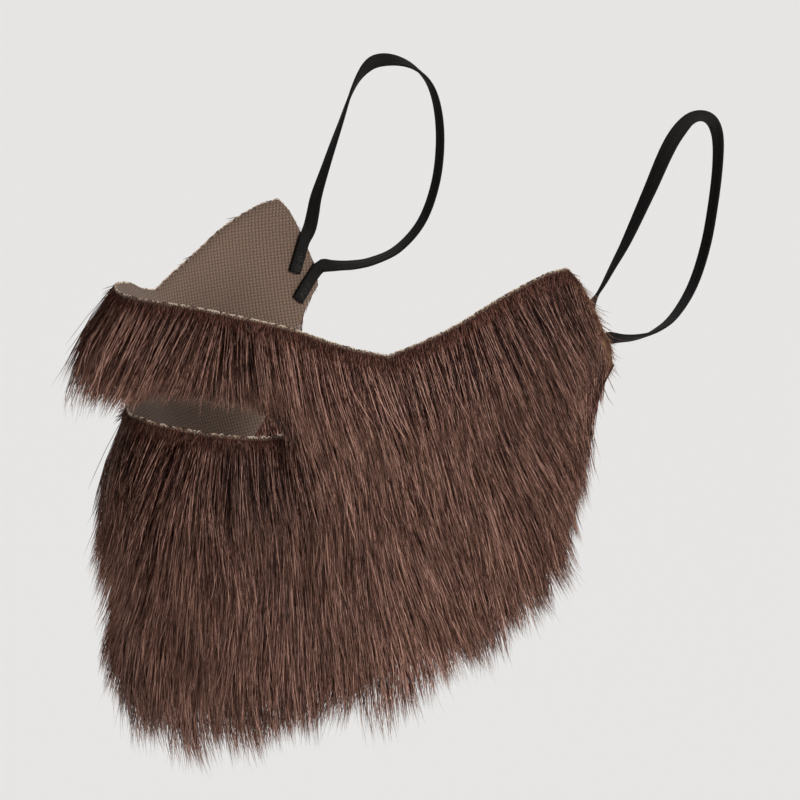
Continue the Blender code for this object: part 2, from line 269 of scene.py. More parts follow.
def setStage():
    scene = bpy.context.scene
    camera = bpy.data.objects.new("camera", bpy.data.cameras.new("camera"))
    camera.location = view["place"]
    camera.rotation_euler = [math.radians(angle) for angle in view["turn"]]
    camera.data.lens = view["lens"]
    camera.data.sensor_width = 36.0
    camera.data.clip_end = 60.0
    scene.collection.objects.link(camera)
    scene.camera = camera
    scene.view_settings.view_transform = "Standard"

    world = bpy.data.worlds.new("studio")
    world.use_nodes = True
    world.node_tree.nodes["Background"].inputs["Color"].default_value = linearColour(view["surroundings"])
    world.node_tree.nodes["Background"].inputs["Strength"].default_value = view["surroundingLight"]
    scene.world = world

    floorMaterial, tree, shader = newMaterial("pale matt paper")
    shader.inputs["Base Color"].default_value = linearColour(view["floor"])
    shader.inputs["Roughness"].default_value = 0.95
    shader.inputs["Specular IOR Level"].default_value = 0.1
    far, height = view["floorReach"], view["floorHeight"]
    corners = [(-far, -far, height), (far, -far, height), (far, far, height), (-far, far, height)]
    floor = addMesh("floor", corners, [(0, 1, 2, 3)])
    floor.data.materials.append(floorMaterial)

    for name, compass, high, spread, strength in lights:
        light = bpy.data.lights.new(name, "SUN")
        light.angle = math.radians(spread)
        light.energy = strength
        lamp = bpy.data.objects.new(name, light)
        lamp.rotation_euler = (math.radians(90.0 - high), 0.0, math.radians(compass))
        scene.collection.objects.link(lamp)


setStage()
print("camera, floor and lights are set")


# Knitted backing
backing = {
    "columnStep": 2.15,  # the slit's ends, the notches and the sideburn tips fall on a column
    "bandRows": 6,
    "beardRows": 14,
    "walePitch": 1.25,  # from one rib of the knit to the next
    "coursePitch": 0.95,  # from one row of stitches to the next
    "colours": ("#3A2A23", "#8E7462"),
}


def columnPlaces(first=-rearAt, last=rearAt):
    count = round((last - first) / backing["columnStep"])
    return [first + (last - first) * index / count for index in range(count + 1)]


def clothRows(across):
    # Heights of the grid's rows at a column, from the top edge to the bottom, and the row above the slit
    upper, lower = slitLines(across)
    top, bottom = topEdge(across), smooth(clothBottom, abs(across))
    band = [top + (upper - top) * row / backing["bandRows"] for row in range(backing["bandRows"] + 1)]
    beard = [lower + (bottom - lower) * row / backing["beardRows"] for row in range(backing["beardRows"] + 1)]
    return band + beard


def makeShell(name, columns, outer, inner, openRow):
    # A closed wall between two grids of (across, up, height), open at the slit
    rows = len(outer[0])
    points, places, faces, uvBake, uvPlace = [], [], [], [], []
    for grid in (outer, inner):
        for column in grid:
            for place in column:
                points.append(offFace(*place) * mm)
                places.append(place)
    side = len(columns) * rows
    quads = []
    for column in range(len(columns) - 1):
        inSlit = max(abs(columns[column]), abs(columns[column + 1])) <= slitEnd + nearly
        for row in range(rows - 1):
            if not (row == openRow and inSlit):
                start = column * rows + row
                quads.append((start, start + 1, start + rows + 1, start + rows))
    lowest = min(place[1] for place in places)
    sides = dict.fromkeys(pair for quad in quads for pair in zip(quad, quad[1:] + quad[:1]))
    rims = [(start, end) for start, end in sides if (end, start) not in sides]

    def addFace(corners, uvs):
        faces.append(corners)
        uvBake.extend(uvs)
        uvPlace.extend(places[corner][:2] for corner in corners)

    # On the bake map the two sides lie next to each other, and the rims stand in a strip above them
    margin, mapWidth, mapHeight, highest = 0.01, 0.48, 0.95, 10.0
    for half, offset in enumerate((0, side)):
        for quad in quads:
            corners = tuple(index + offset for index in (quad if half == 0 else quad[::-1]))
            addFace(corners, [
                (margin + 0.5 * half + mapWidth * (places[corner][0] + rearAt) / (2 * rearAt),
                 mapHeight * (places[corner][1] - lowest) / (highest - lowest))
                for corner in corners
            ])
    low, high = 0.97, 0.99
    for number, (start, end) in enumerate(rims):
        left, right = margin + 0.98 * number / len(rims), margin + 0.98 * (number + 0.8) / len(rims)
        addFace((end, start, start + side, end + side), [(right, low), (left, low), (left, high), (right, high)])
    return addMesh(name, points, faces, {"OFBake": uvBake, "Place": uvPlace})


def knitMaterial():
    # Warp-knitted polyester ground, undyed yarn under dyed pile loops: matt, ribbed, lighter along each wale
    material, tree, shader = newMaterial("polyester knit ground")
    place = addNode(tree, "ShaderNodeUVMap", {"uv_map": "Place"})
    cut = addNode(tree, "ShaderNodeSeparateXYZ", None, {0: place.outputs[0]})
    wale = addNode(tree, "ShaderNodeMath", {"operation": "DIVIDE"}, {0: cut.outputs[0], 1: backing["walePitch"]})
    inWale = addNode(tree, "ShaderNodeMath", {"operation": "PINGPONG"}, {0: wale.outputs[0], 1: 0.5})
    course = addNode(tree, "ShaderNodeMath", {"operation": "DIVIDE"},
                     {0: cut.outputs[1], 1: backing["coursePitch"]})
    legs = addNode(tree, "ShaderNodeMath", {"operation": "MULTIPLY_ADD"},
                   {0: inWale.outputs[0], 1: 1.3, 2: course.outputs[0]})
    stitch = addNode(tree, "ShaderNodeMath", {"operation": "PINGPONG"}, {0: legs.outputs[0], 1: 0.5})
    ridge = addNode(tree, "ShaderNodeMapRange", {"interpolation_type": "SMOOTHSTEP"},
                    {0: inWale.outputs[0], 1: 0.02, 2: 0.3, 3: 0.0, 4: 1.0})
    relief = addNode(tree, "ShaderNodeMath", {"operation": "MULTIPLY"},
                     {0: ridge.outputs[0], 1: stitch.outputs[0]})
    # Fuzz on the yarn, in specks of about half a millimetre
    fuzz = addNode(tree, "ShaderNodeTexNoise", {"noise_dimensions": "2D"},
                   {"Vector": place.outputs[0], "Scale": 2.2, "Detail": 4.0, "Roughness": 0.7})
    mixed = addNode(tree, "ShaderNodeMath", {"operation": "MULTIPLY_ADD"},
                    {0: fuzz.outputs[0], 1: 0.75, 2: relief.outputs[0]})
    ramp = addNode(tree, "ShaderNodeValToRGB", None, {0: mixed.outputs[0]})
    ramp.color_ramp.elements[0].position = 0.25
    ramp.color_ramp.elements[0].color = linearColour(backing["colours"][0])
    ramp.color_ramp.elements[1].position = 0.85
    ramp.color_ramp.elements[1].color = linearColour(backing["colours"][1])
    tree.links.new(ramp.outputs[0], shader.inputs["Base Color"])
    bump = addNode(tree, "ShaderNodeBump", None,
                   {"Height": mixed.outputs[0], "Distance": 0.4 * mm, "Strength": 0.9})
    tree.links.new(bump.outputs[0], shader.inputs["Normal"])
    shader.inputs["Roughness"].default_value = 0.92
    shader.inputs["Sheen Weight"].default_value = 0.05
    return material


def makeBacking():
    columns = columnPlaces()
    outer = [[(across, up, clothWall) for up in clothRows(across)] for across in columns]
    inner = [[(across, up, 0.0) for up in clothRows(across)] for across in columns]
    cloth = makeShell("knit_backing", columns, outer, inner, backing["bandRows"])
    cloth.data.materials.append(knitMaterial())
    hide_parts("backing_cloth")
    return cloth


knitBacking = makeBacking()
print("knitted backing made")


# Fur
fur = {
    "strandsPerSquareMillimetre": 2.0,
    "edgeCrowding": 1.5,  # how many more strands there are along the cut edges and in the fringe
    "edgeStrip": 3.4,  # how far from a cut edge they still stand closer
    "pointsPerStrand": 4,
    "strandWidth": 0.18,  # coarser than real pile, so that strands show within the triangle limits
    "tuftSpacing": 0.95,
    "tuftPull": 0.14,
    "lockSpacing": 4.2,
    "lockPull": 1.0,
    "length": 26.0,
    "fringeLength": 37.0,
    "fringeStrip": 26.0,  # how far over the cloth's lower edge the strands start to grow longer
    "rearLength": 8.5,
    "shortest": 4.0,
    "tipsPast": 2.0,  # how far the longest tips may pass the fringe's line
    "riseLength": 27.0,
    "risePower": 0.72,
    "unevenLean": 5.0,
    "stray": 0.1,
    "wave": 1.5,
    "rearThinning": 0.62,
    "colours": ("#180401", "#592D20", "#CB9D8B"),  # of dark, usual and light strands
    "seed": 7,
}
# The short pile under the long strands: its dark colours are painted shade where it shows between them
undercoat = {
    "foot": 0.12,  # its lowest surface over the cloth
    "inset": 0.5,  # how far it stays back from the cut edges
    "thinnest": 0.12,
    "clearance": 3.4,  # it grows thicker only where the fur stands deeper than this
    "depthShare": 0.5,
    "taper": 24.0,  # the stretch before the rear edge over which it thins out
    "tooth": 0.54,  # how far it hangs into the fringe, as a share
    "everyOtherTooth": 0.12,
    "unevenTooth": 0.22,
    "longestTooth": 0.68,
    "colours": ("#200E08", "#4A2519"),
}
stubs = {
    "strip": 1.6,  # width of the strip along a cut edge where cut stubs of pile stand
    "length": 3.4,
    "perSquareMillimetre": 9.0,
    "pointsPerStub": 3,
    "colours": ("#200E08", "#4E2C22", "#8B6152"),
}
# Fine loose strands round the rear corner, over the sewn elastics
wisps = {
    "length": 5.5,
    "perSquareMillimetre": 12.0,
    "widthShare": 0.45,
    "waveShare": 3.0,
    "stray": 0.7,
    "colours": ("#4A2818", "#865643", "#C09A78"),
}
# How far down the moustache is trimmed, and how much deeper the fur stands at the front: place, value
moustacheTrim = ((0.0, -29.3), (8.0, -28.8), (16.0, -26.0), (24.0, -24.5), (34.0, -26.0), (43.0, -26.0))
frontSwell = (
    (-93.0, 0.06), (-78.0, 0.22), (-62.0, 0.28), (-48.0, 0.08),
    (-34.0, -0.12), (-28.0, 0.05), (-20.0, 0.24), (0.0, 0.24),
)
# Where the fringe ends higher than its table says, or lower: across, radius, and by how much
rightDip = (-13.0, 16.0, 15.5)  # beside the chin's middle, on the right alone
evenDips = ((31.0, 8.0, 3.5), (117.0, 9.0, 8.0), (53.0, 10.0, -5.0))
# The tips of the chin's strands all sweep to one side: across, radius, and by how many degrees
chinSweep = (-12.0, 20.0, 18.0)
# How much lighter or darker the pile is in places: random patches of tone, and painted light and shade
furToneAndPaintedLight = {
    "patches": 0.10,
    # painted shade: the whole moustache darker
    "moustache": -0.07,
    # painted rim light: the moustache's middle lighter
    "paintedRimLightMoustacheMiddle": 0.14,
    # darker along the cheek's top edge: partly real tone, partly painted shade
    "cheekTop": -0.12,
    # painted shade: darker below the slit, under the moustache
    "paintedShadeBelowSlit": -0.12,
}
# Rearward lean of the strands in degrees: across, then the lean at each of these heights
leanHeights = (-8.0, -20.0, -40.0, -60.0, -80.0, -105.0)
leans = (
    (0.0, 0.0, 0.0, 0.0, 0.0, 0.0, 0.0),
    (8.0, -13.0, -14.0, -23.0, -6.0, -2.0, 0.0),
    (16.0, -15.0, -14.0, -22.0, -6.0, 3.0, 2.0),
    (24.0, -13.0, -15.0, -20.0, 3.0, -1.0, 0.0),
    (34.0, 0.0, 3.0, 6.0, -6.0, -8.0, -1.0),
    (45.0, 9.0, 13.0, 16.0, 0.0, -1.0, -7.0),
    (56.0, 14.0, 17.0, 7.0, -5.0, -2.0, -16.0),
    (66.0, 15.0, 13.0, 3.0, 4.0, 4.0, -18.0),
    (76.0, 16.0, 13.0, 4.0, 10.0, 11.0, -14.0),
    (90.0, 12.0, 3.0, 8.0, 3.0, 1.0, -6.0),
    (106.0, 18.0, 12.0, 16.0, 5.0, 8.0, -3.0),
    (118.0, 18.0, 13.0, 4.0, -8.0, -4.0, -8.0),
    (128.0, 15.0, -4.0, -12.0, -18.0, -14.0, -14.0),
    (137.6, 12.0, -14.0, -34.0, -34.0, -30.0, -30.0),
)
# Hollows in the fur: across, up, radius across, radius up, and the share of the depth that is lost
hollows = (
    (25.0, -40.0, 6.0, 8.0, 0.65),
    (74.0, -20.0, 4.0, 10.0, 0.45),
    (102.0, -56.0, 9.0, 6.0, 0.30),
    (11.0, -72.0, 7.0, 10.0, 0.25),
)


def hollowShare(across, up):
    # The share of the fur's depth that the hollows leave here
    share = 1.0
    for place, level, wide, high, lost in hollows:
        share -= lost * math.exp(-(((abs(across) - place) / wide) ** 2) - ((up - level) / high) ** 2)
    return share


def leanAt(across, up):
    levels = [
        (-height, smooth([(row[0], row[column]) for row in leans], abs(across)))
        for column, height in enumerate(leanHeights, 1)
    ]
    depth = min(max(-up, -leanHeights[0]), -leanHeights[-1])
    return smooth(levels, depth) * math.copysign(1.0, across)


def fringeLine(across):
    # Where the longest strands end
    middle, radius, dip = rightDip
    shorter = dip * bell(across, middle, radius)
    across = min(abs(across), rearAt)
    shorter += sum(dip * bell(across, middle, radius) for middle, radius, dip in evenDips)
    return smooth(clothBottom, across) - smooth(fringeLengths, across) + shorter


def toneAndPaintedLightAt(across, up):
    # How much lighter or darker the pile is here, with painted light and shade: darker below the slit and along
    # the cheek's top edge
    upper, lower = slitLines(across)
    shade = furToneAndPaintedLight["patches"] * noise.noise(Vector((across / 9.0, up / 16.0, 21.0)))
    if up >= upper - nearly and abs(across) <= slitEnd:
        # painted shade over the moustache, and a painted rim light on its middle
        return shade + furToneAndPaintedLight["moustache"] + furToneAndPaintedLight["paintedRimLightMoustacheMiddle"] * bell(across, 0.0, 10.0)
    rearward = asShare((abs(across) - 55.0) / 45.0)
    # darker along the cheek's top edge: partly real tone, partly painted shade
    shade += furToneAndPaintedLight["cheekTop"] * rearward * math.exp(-(topEdge(across) - up) / 22.0)
    if up <= lower + nearly and abs(across) < slitEnd + 8.0:
        # painted shade below the slit, under the moustache
        shade += furToneAndPaintedLight["paintedShadeBelowSlit"] * math.exp(-(lower - up) / 14.0)
    return shade


def strandRule(across, up):
    # What a strand that is rooted here does: its flow over the face, with its shade in the third value;
    # its length, depth and flare; and how crowded it stands, how far it joins its lock, and the shortest
    # share of its length. The lean is read halfway down the strand, because a strand shows most near its tip
    width = abs(across)
    low = asShare(1.0 - (up - smooth(clothBottom, width)) / fur["fringeStrip"])
    front = asShare(1.4 - width / 30.0)
    uneven = noise.noise(Vector((across / 28.0, up / 28.0, 3.0)))
    middle, radius, sweep = chinSweep
    lean = leanAt(across, up - fur["length"] / 2) + fur["unevenLean"] * uneven
    lean += sweep * low * bell(across, middle, radius)
    sideways, downwards = math.sin(math.radians(lean)), math.cos(math.radians(lean))

    length = fur["length"] + (fur["fringeLength"] - fur["length"]) * low
    length = min(length, fur["rearLength"] + 1.4 * (rearAt - width))
    while (length > fur["shortest"]
           and up - downwards * length < fringeLine(across + sideways * length) - fur["tipsPast"]):
        length -= 0.5
    depth = smooth(pileDepths, width) * hollowShare(across, up) * (1.0 + front * smooth(frontSwell, up))
    depth *= 1.08 + 0.22 * noise.noise(Vector((across / 17.0, up / 24.0, 9.0)))
    depth *= 1.0 - fur["rearThinning"] * asShare((width - 110.0) / 22.0)
    flare = 1.0 + 1.5 * front * (1.0 - low)
    joined, shortest = 0.08 + 0.92 * low, 0.66 + 0.24 * low

    # The moustache is trimmed, and blends into the cheek's long strands past the slit's end
    upper, lower = slitLines(across)
    past = asShare((width - 41.0) / 8.0)
    if up >= upper - nearly and past < 1.0:
        trimmed = (up - smooth(moustacheTrim, min(width, slitEnd))) / downwards
        length = trimmed + (length - trimmed) * past
        flare = 1.0 + 1.8 * front
        joined, shortest = 0.15, 0.62
    edges = [topEdge(across)] + ([upper, lower] if width <= slitEnd + nearly else [])
    crowded = max(1.0 - min(abs(up - edge) for edge in edges) / fur["edgeStrip"], low)
    return (
        # the third value is the tone shift: random patches, with painted light and shade in places
        (sideways, -downwards, toneAndPaintedLightAt(across, up)),
        (max(length, fur["shortest"]) * mm, depth * mm, flare * mm),
        (crowded, joined, shortest),
    )


def stubRule(across, up):
    # The same for a stub of pile that was cut through with the cloth
    drift = noise.noise(Vector((across / 3.0, up / 3.0, 5.0)))
    return (0.5 * drift, -1.0, 0.0), (stubs["length"] * mm, 8.0 * mm, 0.4 * mm), (0.0, 0.0, 0.2)


def wispRule(across, up):
    # The same for a fine loose strand at the rear corner, which points outwards high up and hangs lower down
    lower = asShare((topEdge(sideburnAt) - up) / 27.0)
    sideways = math.copysign(0.6 - 0.5 * lower, across)
    return (sideways, -0.65 - 0.3 * lower, 0.0), (wisps["length"] * mm, 3.0 * mm, 0.5 * mm), (0.0, 0.0, 0.3)


def makeFaceForm():
    # The face's surface past every edge, which the strands lie over
    pitch, highest = 3.0, 24.0
    columns = [place * pitch for place in range(-54, 55)]
    rows = [highest - pitch * row for row in range(56)]
    points = [facePoint(across, up) * mm for across in columns for up in rows]
    places = [(across * mm, up * mm, 0.0) for across in columns for up in rows]
    step = len(rows)
    faces = [
        (column * step + row, column * step + row + 1, (column + 1) * step + row + 1, (column + 1) * step + row)
        for column in range(len(columns) - 1)
        for row in range(step - 1)
    ]
    form = addMesh("face_form", points, faces)
    addVectors(form, "place", places)
    form.hide_render = True
    return form


def layPatch(spots, faces, rule):
    # A piece of the cloth that strands grow on, with the strands' rule at each of its points
    patch = addMesh("patch", [offFace(*spot, clothWall) * mm for spot in spots], faces)
    addVectors(patch, "place", [(across * mm, up * mm, 0.0) for across, up in spots])
    for label, rows in zip(("flow", "form", "habit"), zip(*[rule(*spot) for spot in spots])):
        addVectors(patch, label, rows)
    return patch


def makeStubPatch():
    # Strips of the cloth along its top edge and along both sides of the slit
    spots, faces = [], []
    width = stubs["strip"]
    for edge, deep, last in (
        (topEdge, -width, rearAt),
        (lambda across: slitLines(across)[0], width, slitEnd),
        (lambda across: slitLines(across)[1], -width, slitEnd),
    ):
        start = len(spots)
        for across in columnPlaces():
            if abs(across) <= last + nearly:
                for up in sorted((edge(across), edge(across) + deep), reverse=True):
                    spots.append((across, up))
        faces += [(index, index + 1, index + 3, index + 2) for index in range(start, len(spots) - 2, 2)]
    return layPatch(spots, faces, stubRule)


def makeWispPatch():
    # Strips of the cloth along both rear edges, from the sideburn's tip to the lower corner
    first, pitch, steps, stripAcross, stripDown = 127.5, 1.2, 8, 2.2, 1.2
    spots, faces = [], []
    for side in (-1.0, 1.0):
        start = len(spots)
        for step in range(steps + 1):
            outer = first + pitch * step
            up = topEdge(outer) - 0.4 if step < steps else smooth(clothBottom, rearAt) + 0.6
            pair = [(side * (outer - stripAcross), up - stripDown), (side * outer, up)]
            spots += pair if side > 0 else pair[::-1]
        faces += [(index, index + 2, index + 3, index + 1) for index in range(start, len(spots) - 2, 2)]
    return layPatch(spots, faces, wispRule)


def makePatch(first, last, band, beard):
    # A stretch of the cloth between two places across: the band, the beard below it, or both
    columns, rows, bandEnd = columnPlaces(first, last), len(clothRows(0.0)), backing["bandRows"]
    wanted = range(0 if band else bandEnd + 1, rows - 1 if beard else bandEnd)
    spots = [(across, up) for across in columns for up in clothRows(across)]
    faces = [
        (column * rows + row, column * rows + row + 1, (column + 1) * rows + row + 1, (column + 1) * rows + row)
        for column in range(len(columns) - 1)
        for row in wanted
    ]
    return layPatch(spots, faces, strandRule)


def furTree():
    tree, given = newTree("fur strands", {
        "Face Form": "Object",
        "Strands per Square Metre": "Float",
        "Edge Crowding": "Float",
        "Tufts per Square Metre": "Float",
        "Tuft Pull": "Float",
        "Locks per Square Metre": "Float",
        "Lock Pull": "Float",
        "Points per Strand": "Int",
        "Strand Width": "Float",
        "Rise Length": "Float",
        "Rise Power": "Float",
        "Stray": "Float",
        "Wave": "Float",
        "Seed": "Int",
        "Material": "Material",
    })
    place, flow, form, habit = [
        addNode(tree, "GeometryNodeInputNamedAttribute", {"data_type": "FLOAT_VECTOR"}, {0: label}).outputs[0]
        for label in ("place", "flow", "form", "habit")
    ]

    # Roots, closer together along the cut edges and in the fringe
    ofHabit = addNode(tree, "ShaderNodeSeparateXYZ", None, {0: habit}).outputs
    crowded = addNode(tree, "ShaderNodeMath", {"operation": "MULTIPLY_ADD"},
                      {0: ofHabit[0], 1: given["Edge Crowding"], 2: 1.0})
    density = addNode(tree, "ShaderNodeMath", {"operation": "MULTIPLY"},
                      {0: crowded.outputs[0], 1: given["Strands per Square Metre"]})
    roots = addNode(tree, "GeometryNodeDistributePointsOnFaces", None,
                    {"Mesh": given["Mesh"], "Density": density.outputs[0], "Seed": given["Seed"]})

    def gather(perArea, seedShift):
        # The way from each root to the middle of its tuft or lock, sideways only, and that one's chance
        seed = addNode(tree, "ShaderNodeMath", {"operation": "ADD"}, {0: given["Seed"], 1: seedShift})
        middles = addNode(tree, "GeometryNodeDistributePointsOnFaces", None,
                          {"Mesh": given["Mesh"], "Density": given[perArea], "Seed": seed.outputs[0]})
        nearest = addNode(tree, "GeometryNodeSampleNearest", None, {0: middles.outputs[0]})
        middle = addNode(tree, "GeometryNodeSampleIndex", {"data_type": "FLOAT_VECTOR"},
                         {0: middles.outputs[0], 1: place, 2: nearest.outputs[0]})
        picked = addNode(tree, "FunctionNodeRandomValue", {"data_type": "FLOAT"}, {7: nearest.outputs[0], 8: 31})
        way = addNode(tree, "ShaderNodeVectorMath", {"operation": "SUBTRACT"}, {0: middle.outputs[0], 1: place})
        sideways = addNode(tree, "ShaderNodeVectorMath", {"operation": "MULTIPLY"},
                           {0: way.outputs[0], 1: (1.0, 0.0, 0.0)})
        return sideways.outputs[0], picked.outputs[1]

    toTuft, tuftChance = gather("Tufts per Square Metre", 100.0)
    toLock, lockChance = gather("Locks per Square Metre", 200.0)
    chance = addNode(tree, "FunctionNodeRandomValue", {"data_type": "FLOAT_VECTOR"}, {8: 5})
    other = addNode(tree, "FunctionNodeRandomValue", {"data_type": "FLOAT_VECTOR"}, {8: 6})
    held = roots.outputs[0]
    for label, kind, value in (
        ("to_tuft", "FLOAT_VECTOR", toTuft),
        ("to_lock", "FLOAT_VECTOR", toLock),
        ("chance", "FLOAT_VECTOR", chance.outputs[0]),
        ("other", "FLOAT_VECTOR", other.outputs[0]),
        ("tuft", "FLOAT", tuftChance),
        ("lock", "FLOAT", lockChance),
    ):
        held = addNode(tree, "GeometryNodeStoreNamedAttribute", {"data_type": kind, "domain": "POINT"},
                       {0: held, 2: label, 3: value}).outputs[0]
    line = addNode(tree, "GeometryNodeCurvePrimitiveLine", None, {1: (0.0, 0.0, 0.01)})
    points = addNode(tree, "GeometryNodeResampleCurve", None,
                     {"Curve": line.outputs[0], "Count": given["Points per Strand"]})
    copies = addNode(tree, "GeometryNodeInstanceOnPoints", None, {0: held, 2: points.outputs[0]})
    strands = addNode(tree, "GeometryNodeRealizeInstances", None, {0: copies.outputs[0]})

    along = addNode(tree, "GeometryNodeSplineParameter").outputs[0]
    chance, other, toTuft, toLock = [
        addNode(tree, "GeometryNodeInputNamedAttribute", {"data_type": "FLOAT_VECTOR"}, {0: label}).outputs[0]
        for label in ("chance", "other", "to_tuft", "to_lock")
    ]
    tuft, lock = [
        addNode(tree, "GeometryNodeInputNamedAttribute", {"data_type": "FLOAT"}, {0: label}).outputs[0]
        for label in ("tuft", "lock")
    ]
    ofChance = addNode(tree, "ShaderNodeSeparateXYZ", None, {0: chance}).outputs
    ofOther = addNode(tree, "ShaderNodeSeparateXYZ", None, {0: other}).outputs
    ofForm = addNode(tree, "ShaderNodeSeparateXYZ", None, {0: form}).outputs
    # the tone shift from the flow: random patches, with painted light and shade in places
    shade = addNode(tree, "ShaderNodeSeparateXYZ", None, {0: flow}).outputs[2]
    onCloth = addNode(tree, "ShaderNodeVectorMath", {"operation": "MULTIPLY"}, {0: flow, 1: (1.0, 1.0, 0.0)})

    # How far along its flow each point lies
    reach = addNode(tree, "ShaderNodeMath", {"operation": "POWER"}, {0: along, 1: 0.65})
    share = addNode(tree, "ShaderNodeMapRange", None, {0: ofChance[0], 3: ofHabit[2], 4: 1.02})
    lockShare = addNode(tree, "ShaderNodeMapRange", None, {0: lock, 3: 0.84, 4: 1.1})
    shared = addNode(tree, "ShaderNodeMath", {"operation": "MULTIPLY"},
                     {0: share.outputs[0], 1: lockShare.outputs[0]})
    length = addNode(tree, "ShaderNodeMath", {"operation": "MULTIPLY"}, {0: ofForm[0], 1: shared.outputs[0]})
    distance = addNode(tree, "ShaderNodeMath", {"operation": "MULTIPLY"},
                       {0: length.outputs[0], 1: reach.outputs[0]})
    strayChance = addNode(tree, "ShaderNodeMapRange", None, {0: ofChance[1], 3: -1.0, 4: 1.0})
    stray = addNode(tree, "ShaderNodeMath", {"operation": "MULTIPLY"},
                    {0: strayChance.outputs[0], 1: given["Stray"]})
    strayLean = addNode(tree, "ShaderNodeCombineXYZ", None, {0: stray.outputs[0]})
    heading = addNode(tree, "ShaderNodeVectorMath", {"operation": "ADD"},
                      {0: onCloth.outputs[0], 1: strayLean.outputs[0]})
    path = addNode(tree, "ShaderNodeVectorMath", {"operation": "SCALE"},
                   {0: heading.outputs[0], "Scale": distance.outputs[0]})

    # Sideways: the tuft's pull, the lock's pull at the tip, a slow wave, and a few flyaways
    bend = addNode(tree, "ShaderNodeMath", {"operation": "POWER"}, {0: reach.outputs[0], 1: 1.5})
    lateBend = addNode(tree, "ShaderNodeMath", {"operation": "POWER"}, {0: reach.outputs[0], 1: 3.4})
    pulled = addNode(tree, "ShaderNodeMath", {"operation": "MULTIPLY"},
                     {0: bend.outputs[0], 1: given["Tuft Pull"]})
    joined = addNode(tree, "ShaderNodeMath", {"operation": "MULTIPLY"}, {0: ofHabit[1], 1: given["Lock Pull"]})
    latePull = addNode(tree, "ShaderNodeMath", {"operation": "MULTIPLY"},
                       {0: lateBend.outputs[0], 1: joined.outputs[0]})
    inTuft = addNode(tree, "ShaderNodeVectorMath", {"operation": "SCALE"},
                     {0: toTuft, "Scale": pulled.outputs[0]})
    inLock = addNode(tree, "ShaderNodeVectorMath", {"operation": "SCALE"},
                     {0: toLock, "Scale": latePull.outputs[0]})
    toMiddle = addNode(tree, "ShaderNodeVectorMath", {"operation": "ADD"},
                       {0: inTuft.outputs[0], 1: inLock.outputs[0]})
    drifting = addNode(tree, "ShaderNodeVectorMath", {"operation": "MULTIPLY_ADD"},
                       {0: place, 1: (110.0, 110.0, 0.0), 2: path.outputs[0]})
    ripple = addNode(tree, "ShaderNodeVectorMath", {"operation": "MULTIPLY_ADD"},
                     {0: path.outputs[0], 1: (0.0, 45.0, 0.0), 2: drifting.outputs[0]})
    wave = addNode(tree, "ShaderNodeTexNoise", None,
                   {"Vector": ripple.outputs[0], "Scale": 1.0, "Detail": 2.0})
    swing = addNode(tree, "ShaderNodeMath", {"operation": "SUBTRACT"}, {0: wave.outputs[0], 1: 0.5})
    swung = addNode(tree, "ShaderNodeMath", {"operation": "MULTIPLY"}, {0: swing.outputs[0], 1: given["Wave"]})
    swungOut = addNode(tree, "ShaderNodeMath", {"operation": "MULTIPLY"},
                       {0: swung.outputs[0], 1: bend.outputs[0]})
    flyaway = addNode(tree, "ShaderNodeMath", {"operation": "GREATER_THAN"}, {0: ofOther[0], 1: 0.965})
    flown = addNode(tree, "ShaderNodeMath", {"operation": "MULTIPLY"}, {0: flyaway.outputs[0], 1: bend.outputs[0]})
    flySide = addNode(tree, "ShaderNodeMapRange", None, {0: ofOther[1], 3: -4.0 * mm, 4: 4.0 * mm})
    flyAcross = addNode(tree, "ShaderNodeMath", {"operation": "MULTIPLY_ADD"},
                        {0: flySide.outputs[0], 1: flown.outputs[0], 2: swungOut.outputs[0]})

    # Height over the cloth: a little quicker at the root, with the tips of the uppermost strands flared
    gone = addNode(tree, "ShaderNodeMath", {"operation": "DIVIDE"},
                   {0: distance.outputs[0], 1: given["Rise Length"]})
    gained = addNode(tree, "ShaderNodeMath", {"operation": "POWER", "use_clamp": True},
                     {0: gone.outputs[0], 1: given["Rise Power"]})
    level = addNode(tree, "ShaderNodeMath", {"operation": "POWER"}, {0: ofChance[2], 1: 0.6})
    layer = addNode(tree, "ShaderNodeMapRange", None, {0: level.outputs[0], 3: 0.5, 4: 1.0})
    depth = addNode(tree, "ShaderNodeMath", {"operation": "MULTIPLY"}, {0: ofForm[1], 1: layer.outputs[0]})
    raised = addNode(tree, "ShaderNodeMath", {"operation": "MULTIPLY_ADD"},
                     {0: depth.outputs[0], 1: gained.outputs[0], 2: clothWall * mm})
    tipFlare = addNode(tree, "ShaderNodeMath", {"operation": "MULTIPLY"}, {0: ofForm[2], 1: level.outputs[0]})
    flared = addNode(tree, "ShaderNodeMath", {"operation": "MULTIPLY_ADD"},
                     {0: tipFlare.outputs[0], 1: bend.outputs[0], 2: raised.outputs[0]})
    flyUp = addNode(tree, "ShaderNodeMath", {"operation": "MULTIPLY_ADD"},
                    {0: flown.outputs[0], 1: 2.5 * mm, 2: flared.outputs[0]})
    aside = addNode(tree, "ShaderNodeCombineXYZ", None, {0: flyAcross.outputs[0]})
    first = addNode(tree, "ShaderNodeVectorMath", {"operation": "ADD"}, {0: place, 1: path.outputs[0]})
    second = addNode(tree, "ShaderNodeVectorMath", {"operation": "ADD"},
                     {0: first.outputs[0], 1: toMiddle.outputs[0]})
    third = addNode(tree, "ShaderNodeVectorMath", {"operation": "ADD"},
                    {0: second.outputs[0], 1: aside.outputs[0]})

